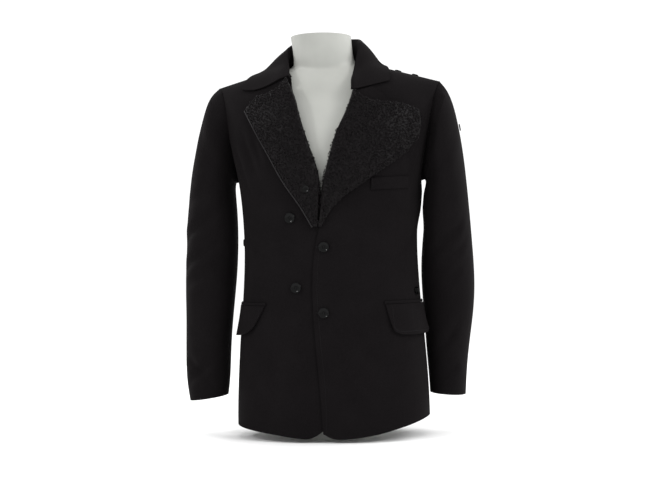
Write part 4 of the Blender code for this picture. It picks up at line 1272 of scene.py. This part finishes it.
class Buttons(Part):
    """The glossy four-hole buttons with their crossed threads, modelled once and copied to each place."""

    DIAMETER = 20 * MM
    THICKNESS = 3.4 * MM
    HOLE = 1.0 * MM
    HOLE_REACH = 2.1 * MM
    # Width and drop of each ring from the rim to the middle: the flat rim, the step, the cup and its floor
    RINGS_MM = ((1.0, 0.0), (0.6, 0.0), (2.0, 1.0), (0.6, 0.15))
    RIM_ROUNDING = 0.7 * MM
    THREAD_RADIUS = 0.26 * MM
    # Each thread's height in millimetres along its way from hole to hole, in shares of a hole's reach
    THREAD_ARCH = ((-1.0, -1.5), (-0.94, -0.1), (-0.5, 0.25), (0.5, 0.25), (0.94, -0.1), (1.0, -1.5))

    def build(self) -> None:
        """Make and place every button."""
        looks = self.finishes
        patterns = (("resin", self.disc(), looks.resin), ("thread", self.threads(), looks.thread))
        for node in BUTTON_TURNS:
            self.put(node, patterns)
        for _, pattern, _ in patterns:
            bpy.data.objects.remove(pattern, do_unlink=True)

    def disc(self) -> Object:
        """Turn one button: a rounded rim, a dished middle and four drilled holes.

        Returns:
            The pattern button, flat on z = 0.
        """
        deselect_all()
        bpy.ops.mesh.primitive_cylinder_add(
            vertices=48, radius=self.DIAMETER / 2, depth=self.THICKNESS, location=(0, 0, self.THICKNESS / 2)
        )
        disc = bpy.context.object
        disc.name = "button_pattern"
        bpy.ops.object.transform_apply(location=True, rotation=True, scale=True)
        for reach, drop in self.RINGS_MM:
            self.select_top(disc)
            bpy.ops.mesh.inset(thickness=reach * MM, depth=0.0)
            bpy.ops.transform.translate(value=(0, 0, -drop * MM))
            bpy.ops.object.mode_set(mode="OBJECT")
        rounded = disc.modifiers.new("rim", "BEVEL")
        rounded.width = self.RIM_ROUNDING
        rounded.segments = 3
        rounded.limit_method = "ANGLE"
        rounded.angle_limit = math.radians(40)
        apply_modifiers(disc)
        for k in range(4):
            angle = math.radians(45 + 90 * k)
            place = (math.cos(angle) * self.HOLE_REACH, math.sin(angle) * self.HOLE_REACH, 0)
            deselect_all()
            bpy.ops.mesh.primitive_cylinder_add(
                vertices=20, radius=self.HOLE, depth=4 * self.THICKNESS, location=place
            )
            drill = bpy.context.object
            hole = disc.modifiers.new("hole", "BOOLEAN")
            hole.operation = "DIFFERENCE"
            hole.object = drill
            apply_modifiers(disc)
            bpy.data.objects.remove(drill, do_unlink=True)
        return disc

    def select_top(self, disc: Object) -> None:
        """Select only the face that looks up in the middle of the button, and leave edit mode on."""
        activate(disc)
        bpy.ops.object.mode_set(mode="EDIT")
        bpy.ops.mesh.select_all(action="DESELECT")
        bpy.ops.mesh.select_mode(type="FACE")
        bpy.ops.object.mode_set(mode="OBJECT")
        upward = [f for f in disc.data.polygons if f.normal.z > 0.99 and f.center.xy.length < 0.1 * MM]
        upward[0].select = True
        bpy.ops.object.mode_set(mode="EDIT")

    def threads(self) -> Object:
        """Model the crossed threads that hold a button.

        Returns:
            The pattern threads, for the pattern button.
        """
        crossed = Gathered()
        # The second pair of threads crosses over the first
        for base, over in ((45.0, 0.0), (135.0, 0.15 * MM)):
            angle = math.radians(base)
            along = Vector((math.cos(angle), math.sin(angle), 0.0)) * self.HOLE_REACH
            for shift in (-0.28 * MM, 0.28 * MM):
                aside = Vector((-math.sin(angle), math.cos(angle), 0.0)) * shift
                top = self.THICKNESS - 0.9 * MM
                line = [
                    along * share + aside + Vector((0.0, 0.0, top + height * MM + over))
                    for share, height in self.THREAD_ARCH
                ]
                crossed.tube(line, [self.THREAD_RADIUS] * len(line), 6, aside.normalized())
        return crossed.closed_piece("thread_pattern")

    def put(self, node: str, patterns: Sequence[tuple[str, Object, Material]]) -> None:
        """Copy the patterns to one button's solid.

        Args:
            node: The solid's name.
            patterns: Each part's name, its pattern and its material.
        """
        drape = LEFT_SLEEVE_DRAPE if node == "button_sleeve" else BODY_DRAPE
        centre, normal, radius = self.lie(node, drape)
        matrix = (
            Matrix.Translation(drape.moved(centre))
            @ normal.to_track_quat("Z", "Y").to_matrix().to_4x4()
            @ Matrix.Rotation(math.radians(BUTTON_TURNS[node]), 4, "Z")
            @ Matrix.Scale(radius / (self.DIAMETER / 2), 4)
        )
        for suffix, pattern, material in patterns:
            mesh = pattern.data.copy()
            mesh.transform(matrix)
            obj = new_object(f"{node}_{suffix}", mesh)
            dress(obj, material, 18)
            if suffix == "resin":
                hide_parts(node)

    def lie(self, node: str, drape: Drape) -> tuple[Vector, Vector, float]:
        """Read how a button's solid lies.

        Args:
            node: The solid's name.
            drape: The hollow that the button is sewn on.

        Returns:
            The middle of its underside, its outward direction and its radius.
        """
        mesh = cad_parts[node].data
        points = [v.co.copy() for v in mesh.vertices]
        middle = sum(points, Vector()) / len(points)
        # The flat face is the direction that most of the surface looks in
        flat: dict[tuple[int, ...], list[bpy.types.MeshPolygon]] = {}
        for face in mesh.polygons:
            flat.setdefault(tuple(round(c * 50) for c in face.normal), []).append(face)
        widest = max(flat.values(), key=lambda faces: sum(face.area for face in faces))
        least = 0.2 * max(face.area for face in mesh.polygons)
        normal = next(face.normal.copy() for face in widest if face.area > least)
        outward = Vector((0.0, 0.0, 1.0)) if "shoulder" in node else drape.outward(middle)
        if normal.dot(outward) < 0:
            normal = -normal
        heights = [(p - middle).dot(normal) for p in points]
        reach = max(((p - middle) - normal * (p - middle).dot(normal)).length for p in points)
        return middle + normal * min(heights), normal, reach


class Sewing(Part):
    """Machine stitching and buttonholes on the finished garment."""

    # The closing edge's line of stitches, as (x, z)
    FRONT_EDGE = (
        (0.0022, 0.020),
        (0.0010, 0.100),
        (-0.0052, 0.175),
        (-0.0108, 0.247),
        (-0.0122, 0.290),
        (-0.0094, 0.333),
        (-0.0050, 0.372),
    )
    WELT_ENDS = (((0.0952, 0.4905), (0.0946, 0.4722)), ((0.1568, 0.4945), (0.1560, 0.4766)))
    # Each tack's turn round the body, and its lower and upper end
    TACKS = ((67.8, 0.2270, 0.2500), (81.0, 0.2195, 0.2230), (81.5, 0.2085, 0.2120))
    HOLES = (("buttonhole_upper", -0.0035, 0.3659), ("buttonhole_lower", -0.0050, 0.2432))
    # A flap's stitches run in from its edges, from one turn round the body to another
    FLAP_INSET = 5 * MM
    FLAP_TURNS = (52.5, 97.0)

    def build(self, pieces: dict[str, Object]) -> None:
        """Sew every row.

        Args:
            pieces: The finished cloth pieces by name.
        """
        thread = self.finishes.thread
        front = Surface(pieces[name] for name in ("wool_front_left", "wool_front_right"))
        StitchRow("stitch_front_edge").build([front_line(front, self.FRONT_EDGE)], thread)
        for side in Side:
            name = side.name.lower()
            line = self.flap_line(pieces[f"wool_flap_{name}"], side)
            StitchRow(f"stitch_flap_{name}").build([line], thread)
        flap = Surface([pieces["wool_flap_left"]])
        tacks = [
            flap.line(flap.from_side, [(turn, low + (high - low) * i / 8) for i in range(9)])
            for turn, low, high in self.TACKS
        ]
        StitchRow("stitch_flap_tacks", length_mm=2.4, pitch_mm=2.8).build(tacks, thread)
        welt = Surface([pieces["wool_welt"]])
        StitchRow("stitch_welt").build([front_line(welt, end, 0.003) for end in self.WELT_ENDS], thread)
        for name, x, z in self.HOLES:
            ring: list[tuple[float, float]] = []
            for i in range(33):
                angle = 2 * math.pi * i / 32
                reach = 9.5 * MM * math.copysign(abs(math.cos(angle)) ** 0.5, math.cos(angle))
                ring.append((x + reach, z + 1.3 * MM * math.sin(angle)))
            close = StitchRow(name, length_mm=1.5, pitch_mm=1.0, radius_mm=0.5)
            close.build([front.line(front.from_front, ring)], thread)

    def flap_line(self, flap: Object, side: Side) -> list[Spot]:
        """Lay the line of stitches round a flap, down, along and up again.

        Args:
            flap: The finished flap.
            side: The wearer's side that it is on.

        Returns:
            Places and normals along the line.
        """
        heights = [v.co.z for v in flap.data.vertices]
        low, high = min(heights), max(heights)
        first, last = self.FLAP_TURNS
        turns = [side.value * (first + (last - first) * i / 40) for i in range(41)]
        inset = self.FLAP_INSET
        rows = [(turns[0], high - inset * 0.8 - (high - low - 2.4 * inset) * j / 10) for j in range(11)]
        rows += [(turn, low + inset * 1.3) for turn in turns[3:-2]]
        rows += [(turns[-2], low + inset * 1.4 + (high - low - 2.6 * inset) * j / 10) for j in range(11)]
        surface = Surface([flap])
        return surface.line(surface.from_side, rows)


def main() -> None:
    """Build the studio and the dressed form, sub-assembly by sub-assembly."""
    logging.basicConfig(level=logging.INFO, format="%(name)s %(message)s")
    Studio().build()
    finishes = Finishes()
    form = DressForm(finishes).build()
    pieces = ClothPieces(finishes, BODY_CUTS, BODY_DRAPE).build()
    pieces |= ClothPieces(finishes, SLEEVE_CUTS[:1], LEFT_SLEEVE_DRAPE).build()
    pieces |= ClothPieces(finishes, SLEEVE_CUTS[1:], RIGHT_SLEEVE_DRAPE).build()
    pieces |= Collar(finishes).build(form)
    pieces |= Lapels(finishes).build()
    pieces |= ClothPieces(finishes, POCKET_CUTS, BODY_DRAPE).build()
    Buttons(finishes).build()
    Sewing(finishes).build(pieces)


if __name__ == "__main__":
    main()
